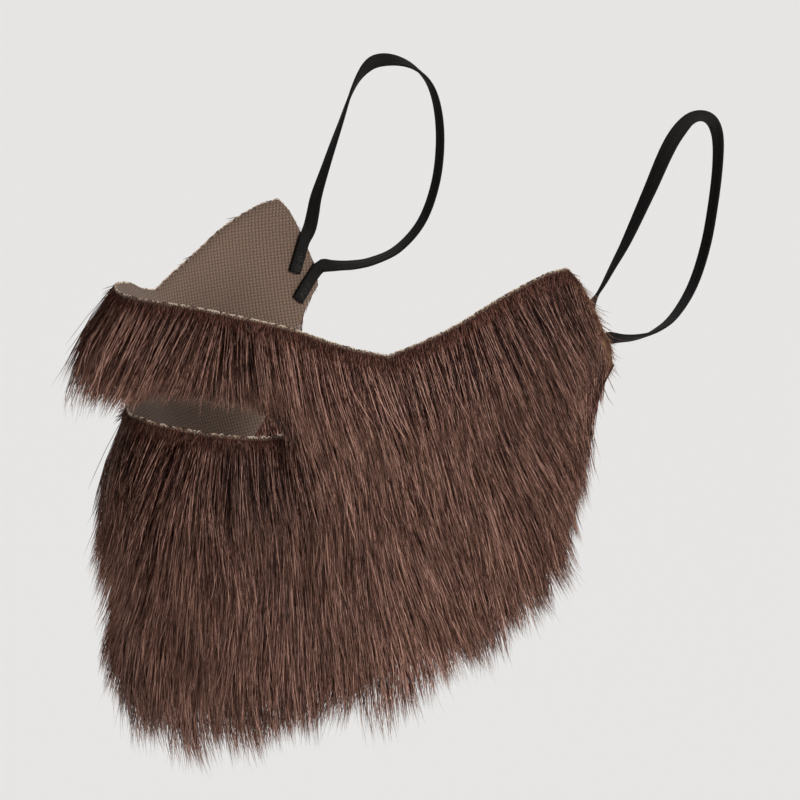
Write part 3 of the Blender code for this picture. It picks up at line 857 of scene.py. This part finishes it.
    # From a place on the cloth to a point over the face
    face = addNode(tree, "GeometryNodeObjectInfo", None, {0: given["Face Form"]})
    formMap = addNode(tree, "ShaderNodeVectorMath", {"operation": "MULTIPLY_ADD"},
                      {0: place, 1: (3.0, 3.0, 0.0), 2: (0.5, 0.5, 0.0)})
    spot = addNode(tree, "ShaderNodeVectorMath", {"operation": "MULTIPLY_ADD"},
                   {0: third.outputs[0], 1: (3.0, 3.0, 0.0), 2: (0.5, 0.5, 0.0)})
    skin = addNode(tree, "GeometryNodeInputPosition").outputs[0]
    facing = addNode(tree, "GeometryNodeInputNormal").outputs[0]
    onFace, offIt = [
        addNode(tree, "GeometryNodeSampleUVSurface", {"data_type": "FLOAT_VECTOR"},
                {0: face.outputs["Geometry"], 1: value, 2: formMap.outputs[0], 3: spot.outputs[0]})
        for value in (skin, facing)
    ]
    over = addNode(tree, "ShaderNodeVectorMath", {"operation": "SCALE"},
                   {0: offIt.outputs[0], "Scale": flyUp.outputs[0]})
    laid = addNode(tree, "ShaderNodeVectorMath", {"operation": "ADD"}, {0: onFace.outputs[0], 1: over.outputs[0]})
    moved = addNode(tree, "GeometryNodeSetPosition", None, {0: strands.outputs[0], 2: laid.outputs[0]})

    # A strand's tone, from its place, its own chance, its tuft's and how deep it lies: the deeper strands are
    # darker, as painted shade
    own = addNode(tree, "ShaderNodeMath", {"operation": "MULTIPLY_ADD"}, {0: ofOther[2], 1: 0.64, 2: shade})
    withPaintedDepthShade = addNode(tree, "ShaderNodeMath", {"operation": "MULTIPLY_ADD"},
                     {0: level.outputs[0], 1: 0.16, 2: own.outputs[0]})
    tone = addNode(tree, "ShaderNodeMath", {"operation": "MULTIPLY_ADD"}, {0: tuft, 1: 0.12, 2: withPaintedDepthShade.outputs[0]})
    held = moved.outputs[0]
    for label, value in (("along", along), ("tone", tone.outputs[0])):
        held = addNode(tree, "GeometryNodeStoreNamedAttribute", {"data_type": "FLOAT", "domain": "POINT"},
                       {0: held, 2: label, 3: value}).outputs[0]

    # Round each strand with a three-sided profile that tapers to the tip
    taper = addNode(tree, "ShaderNodeFloatCurve", None, {1: along})
    curve = taper.mapping.curves[0]
    curve.points[0].location = (0.0, 0.85)
    curve.points[1].location = (1.0, 0.02)
    curve.points.new(0.25, 1.0)
    curve.points.new(0.75, 0.95)
    taper.mapping.update()
    widths = addNode(tree, "ShaderNodeMapRange", None, {0: ofOther[1], 3: 0.75, 4: 1.25})
    scaled = addNode(tree, "ShaderNodeMath", {"operation": "MULTIPLY"},
                     {0: widths.outputs[0], 1: given["Strand Width"]})
    width = addNode(tree, "ShaderNodeMath", {"operation": "MULTIPLY"}, {0: taper.outputs[0], 1: scaled.outputs[0]})
    ring = addNode(tree, "GeometryNodeCurvePrimitiveCircle", None, {0: 3, 4: 0.5})
    turn = addNode(tree, "GeometryNodeSplineParameter").outputs[0]
    profile = addNode(tree, "GeometryNodeStoreNamedAttribute", {"data_type": "FLOAT", "domain": "POINT"},
                      {0: ring.outputs[0], 2: "turn", 3: turn})
    solid = addNode(tree, "GeometryNodeCurveToMesh", None,
                    {0: held, 1: profile.outputs[0], 2: width.outputs[0], 3: True})
    along, tone, turn = [
        addNode(tree, "GeometryNodeInputNamedAttribute", {"data_type": "FLOAT"}, {0: label}).outputs[0]
        for label in ("along", "tone", "turn")
    ]
    tip = addNode(tree, "ShaderNodeMath", {"operation": "GREATER_THAN"}, {0: along, 1: 0.999})
    pointed = addNode(tree, "GeometryNodeMergeByDistance", None,
                      {0: solid.outputs[0], 1: tip.outputs[0], 2: 0.03 * mm})
    mapAcross = addNode(tree, "ShaderNodeMath", {"operation": "MULTIPLY_ADD"}, {0: turn, 1: 0.06, 2: tone})
    mapPoint = addNode(tree, "ShaderNodeCombineXYZ", None, {0: mapAcross.outputs[0], 1: along})
    mapped = addNode(tree, "GeometryNodeStoreNamedAttribute", {"data_type": "FLOAT2", "domain": "CORNER"},
                     {0: pointed.outputs[0], 2: "OFBake", 3: mapPoint.outputs[0]})
    rounded = addNode(tree, "GeometryNodeSetShadeSmooth", None, {0: mapped.outputs[0]})
    coloured = addNode(tree, "GeometryNodeSetMaterial", None, {0: rounded.outputs[0], 2: given["Material"]})
    out = tree.nodes.new("NodeGroupOutput")
    tree.links.new(coloured.outputs[0], out.inputs[0])
    return tree


def furMaterial(title, darkest, usual, lightest):
    # Acrylic and modacrylic pile, crimped and brushed: soft highlights along the strand, partly painted, red-brown
    # at the root, and painted light at the tips
    # The map runs from dark strands to light ones, and from root to tip
    material, tree, shader = newMaterial(title)
    place = addNode(tree, "ShaderNodeUVMap", {"uv_map": "OFBake"})
    cut = addNode(tree, "ShaderNodeSeparateXYZ", None, {0: place.outputs[0]})
    # Painted light and shade along each strand: where it is crimped it catches the light here and there, so each
    # strand's tone changes along it, about ten times in its length
    crimped = addNode(tree, "ShaderNodeVectorMath", {"operation": "MULTIPLY"},
                      {0: place.outputs[0], 1: (90.0, 10.0, 0.0)})
    paintedCrimpGlints = addNode(tree, "ShaderNodeTexNoise", {"noise_dimensions": "2D"},
                    {"Vector": crimped.outputs[0], "Scale": 1.0, "Detail": 2.0, "Roughness": 0.6})
    shift = addNode(tree, "ShaderNodeMapRange", None, {0: paintedCrimpGlints.outputs[0], 1: 0.25, 2: 0.75, 3: -0.5, 4: 0.5})
    shifted = addNode(tree, "ShaderNodeMath", {"operation": "ADD"}, {0: cut.outputs[0], 1: shift.outputs[0]})
    tones = addNode(tree, "ShaderNodeValToRGB", None, {0: shifted.outputs[0]})
    stops = tones.color_ramp
    stops.elements[0].position = 0.25
    stops.elements[0].color = linearColour(darkest)
    stops.elements[1].position = 0.81
    stops.elements[1].color = linearColour(lightest)
    middle = stops.elements.new(0.5)
    middle.color = linearColour(usual)
    rootShare = addNode(tree, "ShaderNodeMapRange", {"interpolation_type": "SMOOTHSTEP"},
                        {0: cut.outputs[1], 1: 0.0, 2: 0.22, 3: 1.0, 4: 0.0})
    rooted = addNode(tree, "ShaderNodeMix", {"data_type": "RGBA"},
                     {0: rootShare.outputs[0], 6: tones.outputs[0], 7: linearColour("#5A2C1F")})
    # painted light: the tips lighter, as light showing through the thin tips
    paintedTipLightShare = addNode(tree, "ShaderNodeMapRange", {"interpolation_type": "SMOOTHSTEP"},
                       {0: cut.outputs[1], 1: 0.74, 2: 1.0, 3: 0.0, 4: 0.5})
    withPaintedTipLight = addNode(tree, "ShaderNodeMix", {"data_type": "RGBA"},
                     {0: paintedTipLightShare.outputs[0], 6: rooted.outputs[2], 7: linearColour("#A87C66")})
    tree.links.new(withPaintedTipLight.outputs[2], shader.inputs["Base Color"])
    shader.inputs["Roughness"].default_value = 0.40
    shader.inputs["IOR"].default_value = 1.5
    shader.inputs["Specular IOR Level"].default_value = 0.20
    return material


def undercoatMaterial():
    # The short dense pile under the long strands: matt, streaked along the flow, and dark as painted shade in the
    # depth of the fur
    material, tree, shader = newMaterial("modacrylic underfur, dark as painted shade")
    place = addNode(tree, "ShaderNodeUVMap", {"uv_map": "Place"})
    # Streaks about 0.6 mm wide and 8 mm long
    drawn = addNode(tree, "ShaderNodeVectorMath", {"operation": "MULTIPLY"},
                    {0: place.outputs[0], 1: (1.6, 0.12, 1.0)})
    streaks = addNode(tree, "ShaderNodeTexNoise", {"noise_dimensions": "2D"},
                      {"Vector": drawn.outputs[0], "Scale": 1.0, "Detail": 5.0, "Roughness": 0.65})
    ramp = addNode(tree, "ShaderNodeValToRGB", None, {0: streaks.outputs[0]})
    ramp.color_ramp.elements[0].position = 0.3
    ramp.color_ramp.elements[0].color = linearColour(undercoat["colours"][0])
    ramp.color_ramp.elements[1].position = 0.7
    ramp.color_ramp.elements[1].color = linearColour(undercoat["colours"][1])
    tree.links.new(ramp.outputs[0], shader.inputs["Base Color"])
    bump = addNode(tree, "ShaderNodeBump", None,
                   {"Height": streaks.outputs[0], "Distance": 0.6 * mm, "Strength": 0.8})
    tree.links.new(bump.outputs[0], shader.inputs["Normal"])
    shader.inputs["Roughness"].default_value = 0.85
    return material


def makeUndercoat():
    # A closed wall on the cloth, which ends in ragged teeth amid the fringe
    columns, bandEnd, inset = columnPlaces(), backing["bandRows"], undercoat["inset"]
    foot = clothWall + undercoat["foot"]
    outer, inner = [], []
    for number, across in enumerate(columns):
        heights = clothRows(across)
        heights[0] -= inset
        if abs(across) <= slitEnd + nearly:
            heights[bandEnd] += inset
            heights[bandEnd + 1] -= inset
        toRear = (rearAt - abs(across)) / undercoat["taper"]
        hang = (heights[-1] - fringeLine(across)) * min(0.04 + toRear, 1.0)
        tooth = undercoat["tooth"] + undercoat["everyOtherTooth"] * (number % 2)
        tooth += undercoat["unevenTooth"] * noise.noise(Vector((number * 1.37, 5.0, 0.0)))
        tooth = min(tooth, undercoat["longestTooth"])
        tips = [heights[-1] - hang * tooth * step / 3 for step in (1, 2, 3)]
        lean = math.sin(math.radians(leanAt(across, heights[-1])))
        top, side = [], []
        for up in heights:
            share = undercoat["depthShare"] * hollowShare(across, up)
            deeper = max(pileDepth(across, up) - undercoat["clearance"], 0.0)
            top.append((across, up, foot + undercoat["thinnest"] + share * deeper))
            side.append((across, up, foot))
        # Below the cloth it hangs amid the strands, so that they cover it on both sides; where it shows between
        # them, it is a dark sheet of painted shade
        full = smooth(pileDepths, abs(across)) * min(0.4 + toRear, 1.0)
        for step, up in enumerate(tips, 1):
            moved = across + lean * (heights[-1] - up)
            amid = clothWall + full * (0.28 + 0.1 * step)
            top.append((moved, up, amid + 0.3 - 0.06 * step))
            side.append((moved, up, amid - 0.3 + 0.06 * step))
        outer.append(top)
        inner.append(side)
    coat = makeShell("fur_undercoat", columns, outer, inner, backing["bandRows"])
    coat.data.materials.append(undercoatMaterial())
    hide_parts("fur_pile")
    return coat


def makeFur():
    tree, form = furTree(), makeFaceForm()
    values = {
        "Face Form": form,
        "Strands per Square Metre": fur["strandsPerSquareMillimetre"] / mm**2,
        "Tufts per Square Metre": 1.0 / (fur["tuftSpacing"] * mm) ** 2,
        "Tuft Pull": fur["tuftPull"],
        "Locks per Square Metre": 1.0 / (fur["lockSpacing"] * mm) ** 2,
        "Lock Pull": fur["lockPull"],
        "Points per Strand": fur["pointsPerStrand"],
        "Strand Width": fur["strandWidth"] * mm,
        "Rise Length": fur["riseLength"] * mm,
        "Rise Power": fur["risePower"],
        "Edge Crowding": fur["edgeCrowding"],
        "Stray": fur["stray"],
        "Wave": fur["wave"] * mm,
        "Material": furMaterial("modacrylic pile", *fur["colours"]),
    }
    forWisps = {
        "Strands per Square Metre": wisps["perSquareMillimetre"] / mm**2,
        "Edge Crowding": 0.0,
        "Strand Width": wisps["widthShare"] * fur["strandWidth"] * mm,
        "Stray": wisps["stray"],
        "Wave": wisps["waveShare"] * fur["wave"] * mm,
        "Material": furMaterial("modacrylic pile, loose", *wisps["colours"]),
    }
    forStubs = {
        "Strands per Square Metre": stubs["perSquareMillimetre"] / mm**2,
        "Points per Strand": stubs["pointsPerStub"],
        "Edge Crowding": 0.0,
        "Material": furMaterial("modacrylic pile, cut short", *stubs["colours"]),
    }
    cheek, sideburn = slitEnd, 92.45  # the columns where two pieces of fur meet
    pieces = [makeUndercoat()]
    for number, (name, patch, special) in enumerate((
        ("fur_moustache", makePatch(-cheek, cheek, True, False), {}),
        ("fur_chin_left", makePatch(0.0, cheek, False, True), {}),
        ("fur_chin_right", makePatch(-cheek, 0.0, False, True), {}),
        ("fur_cheek_left", makePatch(cheek, sideburn, True, True), {}),
        ("fur_cheek_right", makePatch(-sideburn, -cheek, True, True), {}),
        ("fur_sideburn_left", makePatch(sideburn, rearAt, True, True), {}),
        ("fur_sideburn_right", makePatch(-rearAt, -sideburn, True, True), {}),
        ("fur_edge_stubs", makeStubPatch(), forStubs),
        ("fur_rear_wisps", makeWispPatch(), forWisps),
    )):
        piece = runTree(tree, patch, {**values, **special, "Seed": fur["seed"] + number}, name)
        discard(patch)
        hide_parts("fur_pile")
        print(f"{name}: {sum(len(face.vertices) - 2 for face in piece.data.polygons)} triangles")
        pieces.append(piece)
    discard(form)
    return pieces


furPieces = makeFur()
print("fur made")


# Raw cut edges
cutEdge = {
    "pitch": 0.72,
    "loopWidth": 0.85,
    "loopHeight": 0.8,
    "threadThickness": 0.26,
    "slitGrowth": 1.3,  # the slit's edges are stretched open, so that their loops stand out more
    "jitter": 0.35,
    "seed": 11,
}


def loopTree():
    tree, given = newTree("thread loops", {
        "Pitch": "Float",
        "Loop Width": "Float",
        "Loop Height": "Float",
        "Thread Thickness": "Float",
        "Jitter": "Float",
        "Seed": "Int",
        "Material": "Material",
    })
    off, across = [
        addNode(tree, "GeometryNodeInputNamedAttribute", {"data_type": "FLOAT_VECTOR"}, {0: label}).outputs[0]
        for label in ("off", "run")
    ]
    line = addNode(tree, "GeometryNodeMeshToCurve", None, {0: given["Mesh"]})
    spaced = addNode(tree, "GeometryNodeResampleCurve", {"mode": "LENGTH"},
                     {"Curve": line.outputs[0], "Length": given["Pitch"]})
    chance = addNode(tree, "FunctionNodeRandomValue", {"data_type": "FLOAT_VECTOR"},
                     {0: (-1.0, -1.0, -1.0), 1: (1.0, 1.0, 1.0), 8: given["Seed"]})
    tilt = addNode(tree, "ShaderNodeVectorMath", {"operation": "SCALE"},
                   {0: chance.outputs[0], "Scale": given["Jitter"]})
    tilted = addNode(tree, "ShaderNodeVectorMath", {"operation": "ADD"}, {0: across, 1: tilt.outputs[0]})
    turned = addNode(tree, "FunctionNodeAxesToRotation", {"primary_axis": "Z", "secondary_axis": "X"},
                     {0: off, 1: tilted.outputs[0]})
    ring = addNode(tree, "GeometryNodeCurvePrimitiveCircle", None, {0: 8, 4: 0.5})
    upright = addNode(tree, "GeometryNodeTransform", None,
                      {0: ring.outputs[0], "Rotation": (math.pi / 2, 0.0, 0.0)})
    size = addNode(tree, "ShaderNodeCombineXYZ", None,
                   {0: given["Loop Width"], 1: given["Loop Width"], 2: given["Loop Height"]})
    shaped = addNode(tree, "GeometryNodeTransform", None, {0: upright.outputs[0], "Scale": size.outputs[0]})
    grown = addNode(tree, "FunctionNodeRandomValue", {"data_type": "FLOAT"}, {2: 0.75, 3: 1.2, 8: 3})
    toneOf = addNode(tree, "FunctionNodeRandomValue", {"data_type": "FLOAT"}, {2: 0.0, 3: 0.95, 8: 4})
    marked = addNode(tree, "GeometryNodeStoreNamedAttribute", {"data_type": "FLOAT", "domain": "POINT"},
                     {0: spaced.outputs[0], 2: "tone", 3: toneOf.outputs[1]})
    loops = addNode(tree, "GeometryNodeInstanceOnPoints", None,
                    {0: marked.outputs[0], 2: shaped.outputs[0], 5: turned.outputs[0], 6: grown.outputs[1]})
    real = addNode(tree, "GeometryNodeRealizeInstances", None, {0: loops.outputs[0]})
    alongOf = addNode(tree, "GeometryNodeSplineParameter").outputs[0]
    marked = addNode(tree, "GeometryNodeStoreNamedAttribute", {"data_type": "FLOAT", "domain": "POINT"},
                     {0: real.outputs[0], 2: "along", 3: alongOf})
    section = addNode(tree, "GeometryNodeCurvePrimitiveCircle", None, {0: 3, 4: 0.5})
    profile = addNode(tree, "GeometryNodeStoreNamedAttribute", {"data_type": "FLOAT", "domain": "POINT"},
                      {0: section.outputs[0], 2: "turn", 3: alongOf})
    solid = addNode(tree, "GeometryNodeCurveToMesh", None,
                    {0: marked.outputs[0], 1: profile.outputs[0], 2: given["Thread Thickness"]})
    along, tone, turn = [
        addNode(tree, "GeometryNodeInputNamedAttribute", {"data_type": "FLOAT"}, {0: label}).outputs[0]
        for label in ("along", "tone", "turn")
    ]
    mapAcross = addNode(tree, "ShaderNodeMath", {"operation": "MULTIPLY_ADD"}, {0: turn, 1: 0.02, 2: tone})
    mapPoint = addNode(tree, "ShaderNodeCombineXYZ", None, {0: mapAcross.outputs[0], 1: along})
    mapped = addNode(tree, "GeometryNodeStoreNamedAttribute", {"data_type": "FLOAT2", "domain": "CORNER"},
                     {0: solid.outputs[0], 2: "OFBake", 3: mapPoint.outputs[0]})
    rounded = addNode(tree, "GeometryNodeSetShadeSmooth", None, {0: mapped.outputs[0]})
    coloured = addNode(tree, "GeometryNodeSetMaterial", None, {0: rounded.outputs[0], 2: given["Material"]})
    out = tree.nodes.new("NodeGroupOutput")
    tree.links.new(coloured.outputs[0], out.inputs[0])
    return tree


def makeEdgeLine(lines):
    # Runs of (across, up, direction off the edge) as one mesh of edges
    points, edges, offs, runs = [], [], [], []
    for line in lines:
        start = len(points)
        spots = [offFace(across, up, clothWall * 0.6) * mm for across, up, _ in line]
        points += spots
        for index, (across, up, (sideways, upwards)) in enumerate(line):
            before, after = spots[max(index - 1, 0)], spots[min(index + 1, len(spots) - 1)]
            run = (after - before).normalized()
            away = (facePoint(across + sideways, up + upwards) - facePoint(across, up)).normalized()
            runs.append(run)
            offs.append((away - run * away.dot(run)).normalized())
        edges += [(start + index, start + index + 1) for index in range(len(line) - 1)]
    carrier = addMesh("edge_line", points, [], None, edges)
    addVectors(carrier, "off", offs)
    addVectors(carrier, "run", runs)
    return carrier


def yarnMaterial():
    # Cut ends of the ground yarn: undyed polyester, with dyed pile legs between
    material, tree, shader = newMaterial("undyed polyester yarn")
    place = addNode(tree, "ShaderNodeUVMap", {"uv_map": "OFBake"})
    cut = addNode(tree, "ShaderNodeSeparateXYZ", None, {0: place.outputs[0]})
    tones = addNode(tree, "ShaderNodeValToRGB", {}, {0: cut.outputs[0]})
    stops = tones.color_ramp
    stops.interpolation = "CONSTANT"
    stops.elements[0].color = linearColour("#3B231B")
    stops.elements[1].position = 0.46
    stops.elements[1].color = linearColour("#DCCBB5")
    for position, code in ((0.17, "#6B4636"), (0.28, "#A98769")):
        stops.elements.new(position).color = linearColour(code)
    tree.links.new(tones.outputs[0], shader.inputs["Base Color"])
    shader.inputs["Roughness"].default_value = 0.7
    return material


def makeCutEdges(tree):
    down, lift = (0.0, -1.0), (0.0, 1.0)
    places = columnPlaces()
    inSlit = [across for across in places if abs(across) <= slitEnd + nearly]
    outline = [
        [(across, topEdge(across), lift) for across in places],
        [(across, smooth(clothBottom, abs(across)), down) for across in places],
    ]
    for side in (-1.0, 1.0):
        high, low = topEdge(rearAt), smooth(clothBottom, rearAt)
        outline.append([(side * rearAt, high + (low - high) * step / 4, (side, 0.0)) for step in range(5)])
    slit = [
        [(across, slitLines(across)[0], down) for across in inSlit],
        [(across, slitLines(across)[1], lift) for across in inSlit],
    ]
    yarn = yarnMaterial()
    pieces = []
    for name, lines, growth in (
        ("cut_edge_loops", outline, 1.0),
        ("slit_edge_loops", slit, cutEdge["slitGrowth"]),
    ):
        carrier = makeEdgeLine(lines)
        edges = runTree(tree, carrier, {
            "Pitch": cutEdge["pitch"] * mm,
            "Loop Width": cutEdge["loopWidth"] * growth * mm,
            "Loop Height": cutEdge["loopHeight"] * growth * mm,
            "Thread Thickness": cutEdge["threadThickness"] * growth * mm,
            "Jitter": cutEdge["jitter"],
            "Seed": cutEdge["seed"],
            "Material": yarn,
        }, name)
        discard(carrier)
        pieces.append(edges)
    return pieces


threadLoops = loopTree()
cutEdges = makeCutEdges(threadLoops)
print(f"cut edges made: {sum(len(edges.data.polygons) for edges in cutEdges)} faces")


# Elastic ear loops
elastic = {
    "width": 4.0,
    "thickness": 1.0,
    "gap": 0.5,  # between the cloth's skin side and a sewn end
    "ribs": 4,
    "ribDepth": 0.14,
    "step": 1.2,
    "aroundPoints": 32,
    "colours": ("#040303", "#15110F"),
}
tackStitch = {
    "reach": 6.0,  # how much of a sewn end the stitches cover
    "margin": 0.8,
    "height": 0.55,  # over the elastic's middle
    "pitch": 0.42,
    "loopWidth": 3.3,
    "loopHeight": 2.3,
    "threadThickness": 0.3,
    "jitter": 0.08,
    "colours": ("#0D0B0A", "#2A2521"),
    "seed": 12,
}
# Sewn ends as (across, up), and between them x, y, z and the turn of the flat face in degrees
upperSewn = ((128.6, -14.0), (130.2, -10.8), (131.8, -7.4))
lowerSewn = ((136.6, -14.4), (132.6, -18.2), (128.6, -22.4))
loopRoute = (
    (68.4, 101.4, -4.4, 0.0), (68.7, 103.4, -1.0, 44.0), (69.8, 105.2, 2.6, 58.0), (71.1, 107.2, 7.2, 70.0),
    (72.3, 110.6, 13.6, 86.0), (73.6, 117.2, 26.8, 108.0), (74.5, 123.8, 39.6, 138.0), (74.4, 129.4, 45.0, 180.0),
    (72.8, 135.4, 45.8, 216.0), (70.2, 141.4, 43.6, 244.0), (67.6, 145.6, 38.6, 260.0), (65.6, 147.4, 30.6, 268.0),
    (64.2, 147.2, 19.6, 270.0), (63.8, 145.0, 8.0, 270.0), (64.2, 140.2, -2.6, 272.0), (65.6, 132.6, -10.0, 278.0),
    (67.2, 124.6, -13.0, 288.0), (68.0, 118.0, -13.6, 300.0), (68.3, 112.0, -13.2, 312.0),
    (68.2, 107.2, -12.8, 348.0),
)


def elasticRoute():
    # The left loop's x, y, z and turn as tables of (distance along it, value), and its whole length
    under = -(elastic["gap"] + elastic["thickness"] / 2)
    upper = [(*offFace(*spot, under), 0.0) for spot in upperSewn]
    lower = [(*offFace(*spot, under), 360.0) for spot in lowerSewn]
    route = [*upper, *loopRoute, *lower]
    marks = [0.0]
    for before, after in zip(route, route[1:]):
        marks.append(marks[-1] + math.dist(before[:3], after[:3]))
    return [[(mark, row[column]) for mark, row in zip(marks, route)] for column in range(4)], marks[-1]


def elasticFrame(tracks, total, at):
    # The middle, the width's direction and the flat face's direction at a distance along the elastic
    def middle(mark):
        return Vector([smooth(track, mark) for track in tracks[:3]])

    run = (middle(min(at + 0.5, total)) - middle(max(at - 0.5, 0.0))).normalized()
    turn = Matrix.Rotation(math.radians(smooth(tracks[3], at)), 3, run)
    wide = turn @ run.cross(Vector((1.0, 0.0, 0.0))).normalized()
    return middle(at), wide, wide.cross(run)


def elasticMaterial():
    # Woven polyester over rubber cores, dyed black: matt, with fine slanting picks on each rib
    material, tree, shader = newMaterial("woven black elastic")
    place = addNode(tree, "ShaderNodeUVMap", {"uv_map": "Weave"})
    cut = addNode(tree, "ShaderNodeSeparateXYZ", None, {0: place.outputs[0]})
    rib = addNode(tree, "ShaderNodeMath", {"operation": "PINGPONG"}, {0: cut.outputs[0], 1: 0.5})
    slant = addNode(tree, "ShaderNodeMath", {"operation": "MULTIPLY_ADD"},
                    {0: rib.outputs[0], 1: 1.2, 2: cut.outputs[1]})
    pick = addNode(tree, "ShaderNodeMath", {"operation": "PINGPONG"}, {0: slant.outputs[0], 1: 0.35})
    fuzz = addNode(tree, "ShaderNodeTexNoise", {"noise_dimensions": "2D"},
                   {"Vector": place.outputs[0], "Scale": 3.0, "Detail": 4.0})
    mixed = addNode(tree, "ShaderNodeMath", {"operation": "MULTIPLY_ADD"},
                    {0: fuzz.outputs[0], 1: 0.4, 2: pick.outputs[0]})
    ramp = addNode(tree, "ShaderNodeValToRGB", None, {0: mixed.outputs[0]})
    ramp.color_ramp.elements[0].position = 0.12
    ramp.color_ramp.elements[0].color = linearColour(elastic["colours"][0])
    ramp.color_ramp.elements[1].position = 0.6
    ramp.color_ramp.elements[1].color = linearColour(elastic["colours"][1])
    tree.links.new(ramp.outputs[0], shader.inputs["Base Color"])
    bump = addNode(tree, "ShaderNodeBump", None,
                   {"Height": mixed.outputs[0], "Distance": 0.25 * mm, "Strength": 0.8})
    tree.links.new(bump.outputs[0], shader.inputs["Normal"])
    shader.inputs["Roughness"].default_value = 0.8
    shader.inputs["Specular IOR Level"].default_value = 0.2
    return material


def makeElastic(name, node, side, material):
    # A ribbed flat strap along the route, mirrored for the right side
    tracks, total = elasticRoute()
    rings, around, ribDepth = round(total / elastic["step"]), elastic["aroundPoints"], elastic["ribDepth"]
    points, faces, uvBake, uvWeave = [], [], [], []
    for number in range(rings + 1):
        middle, wide, flat = elasticFrame(tracks, total, total * number / rings)
        for corner in range(around):
            angle = 2 * math.pi * (corner + 0.5) / around
            share = math.copysign(abs(math.cos(angle)) ** 0.7, math.cos(angle))
            rib = 1.0 - ribDepth + ribDepth * math.cos(2 * math.pi * elastic["ribs"] * (share + 1) / 2 + math.pi)
            bulge = math.copysign(abs(math.sin(angle)) ** 0.4, math.sin(angle)) * rib
            spot = middle + wide * share * elastic["width"] / 2 + flat * bulge * elastic["thickness"] / 2
            spot.x *= side
            points.append(spot * mm)
    # On the bake map the strap lies in four columns, with its two ends above them
    columns, columnWidth, columnHeight = 4, 0.23, 0.95
    perColumn = math.ceil(rings / columns)
    ribs = 2.0 * elastic["ribs"] / around
    for number in range(rings):
        low = columnHeight * (number % perColumn) / perColumn
        high = columnHeight * (number % perColumn + 1) / perColumn
        left = (number // perColumn) / columns
        start, end = number * elastic["step"], (number + 1) * elastic["step"]
        for corner in range(around):
            ring, beside = number * around, (corner + 1) % around
            quad = (ring + corner, ring + beside, ring + around + beside, ring + around + corner)
            near, far = left + columnWidth * corner / around, left + columnWidth * (corner + 1) / around
            corners = [(near, low), (far, low), (far, high), (near, high)]
            near, far = corner * ribs, (corner + 1) * ribs
            weave = [(near, start), (far, start), (far, end), (near, end)]
            if side > 0:
                quad, corners, weave = quad[::-1], corners[::-1], weave[::-1]
            faces.append(quad)
            uvBake += corners
            uvWeave += weave
    for number, start in enumerate((0, rings * around)):
        cap = tuple(range(start, start + around))
        outwards = (number == 0) == (side > 0)
        faces.append(cap if outwards else cap[::-1])
        for corner in range(around):
            angle = 2 * math.pi * corner / around
            uvBake.append((0.2 + 0.4 * number + 0.02 * math.cos(angle), 0.975 + 0.02 * math.sin(angle)))
            uvWeave.append((2.0 * math.cos(angle), 2.0 * math.sin(angle)))
    strap = addMesh(name, points, faces, {"OFBake": uvBake, "Weave": uvWeave})
    strap.data.materials.append(material)
    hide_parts(node)
    return strap


def threadMaterial():
    # Spun polyester sewing thread, dyed black
    material, tree, shader = newMaterial("black sewing thread")
    place = addNode(tree, "ShaderNodeUVMap", {"uv_map": "OFBake"})
    cut = addNode(tree, "ShaderNodeSeparateXYZ", None, {0: place.outputs[0]})
    twist = addNode(tree, "ShaderNodeMath", {"operation": "PINGPONG"}, {0: cut.outputs[1], 1: 0.04})
    ramp = addNode(tree, "ShaderNodeValToRGB", None, {0: twist.outputs[0]})
    ramp.color_ramp.elements[0].color = linearColour(tackStitch["colours"][0])
    ramp.color_ramp.elements[1].position = 0.04
    ramp.color_ramp.elements[1].color = linearColour(tackStitch["colours"][1])
    tree.links.new(ramp.outputs[0], shader.inputs["Base Color"])
    shader.inputs["Roughness"].default_value = 0.6
    return material


def makeTacks(name, side, tree, material):
    # Close stitches over each sewn end, through the elastic and the cloth
    tracks, total = elasticRoute()
    margin, reach, steps = tackStitch["margin"], tackStitch["reach"], 6
    mirror = Vector((side, 1.0, 1.0))
    points, edges, offs, runs = [], [], [], []
    for low, high in ((margin, reach), (total - reach, total - margin)):
        start = len(points)
        for step in range(steps + 1):
            at = low + (high - low) * step / steps
            middle, wide, flat = elasticFrame(tracks, total, at)
            points.append((middle + flat * tackStitch["height"]) * mirror * mm)
            offs.append(flat * mirror)
            runs.append(wide * mirror)
        edges += [(start + index, start + index + 1) for index in range(steps)]
    carrier = addMesh("tack_line", points, [], None, edges)
    addVectors(carrier, "off", offs)
    addVectors(carrier, "run", runs)
    tack = runTree(tree, carrier, {
        "Pitch": tackStitch["pitch"] * mm,
        "Loop Width": tackStitch["loopWidth"] * mm,
        "Loop Height": tackStitch["loopHeight"] * mm,
        "Thread Thickness": tackStitch["threadThickness"] * mm,
        "Jitter": tackStitch["jitter"],
        "Seed": tackStitch["seed"],
        "Material": material,
    }, name)
    discard(carrier)
    return tack


elasticBlack, threadBlack = elasticMaterial(), threadMaterial()
straps = [
    makeElastic("ear_elastic_left", "ear_loop_left", 1.0, elasticBlack),
    makeElastic("ear_elastic_right", "ear_loop_right", -1.0, elasticBlack),
]
tacks = [
    makeTacks("tack_stitches_left", 1.0, threadLoops, threadBlack),
    makeTacks("tack_stitches_right", -1.0, threadLoops, threadBlack),
]
print("ear loops made")


# What each piece rides on
for piece in (knitBacking, *cutEdges, *furPieces, *straps, *tacks):
    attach(piece, "root")
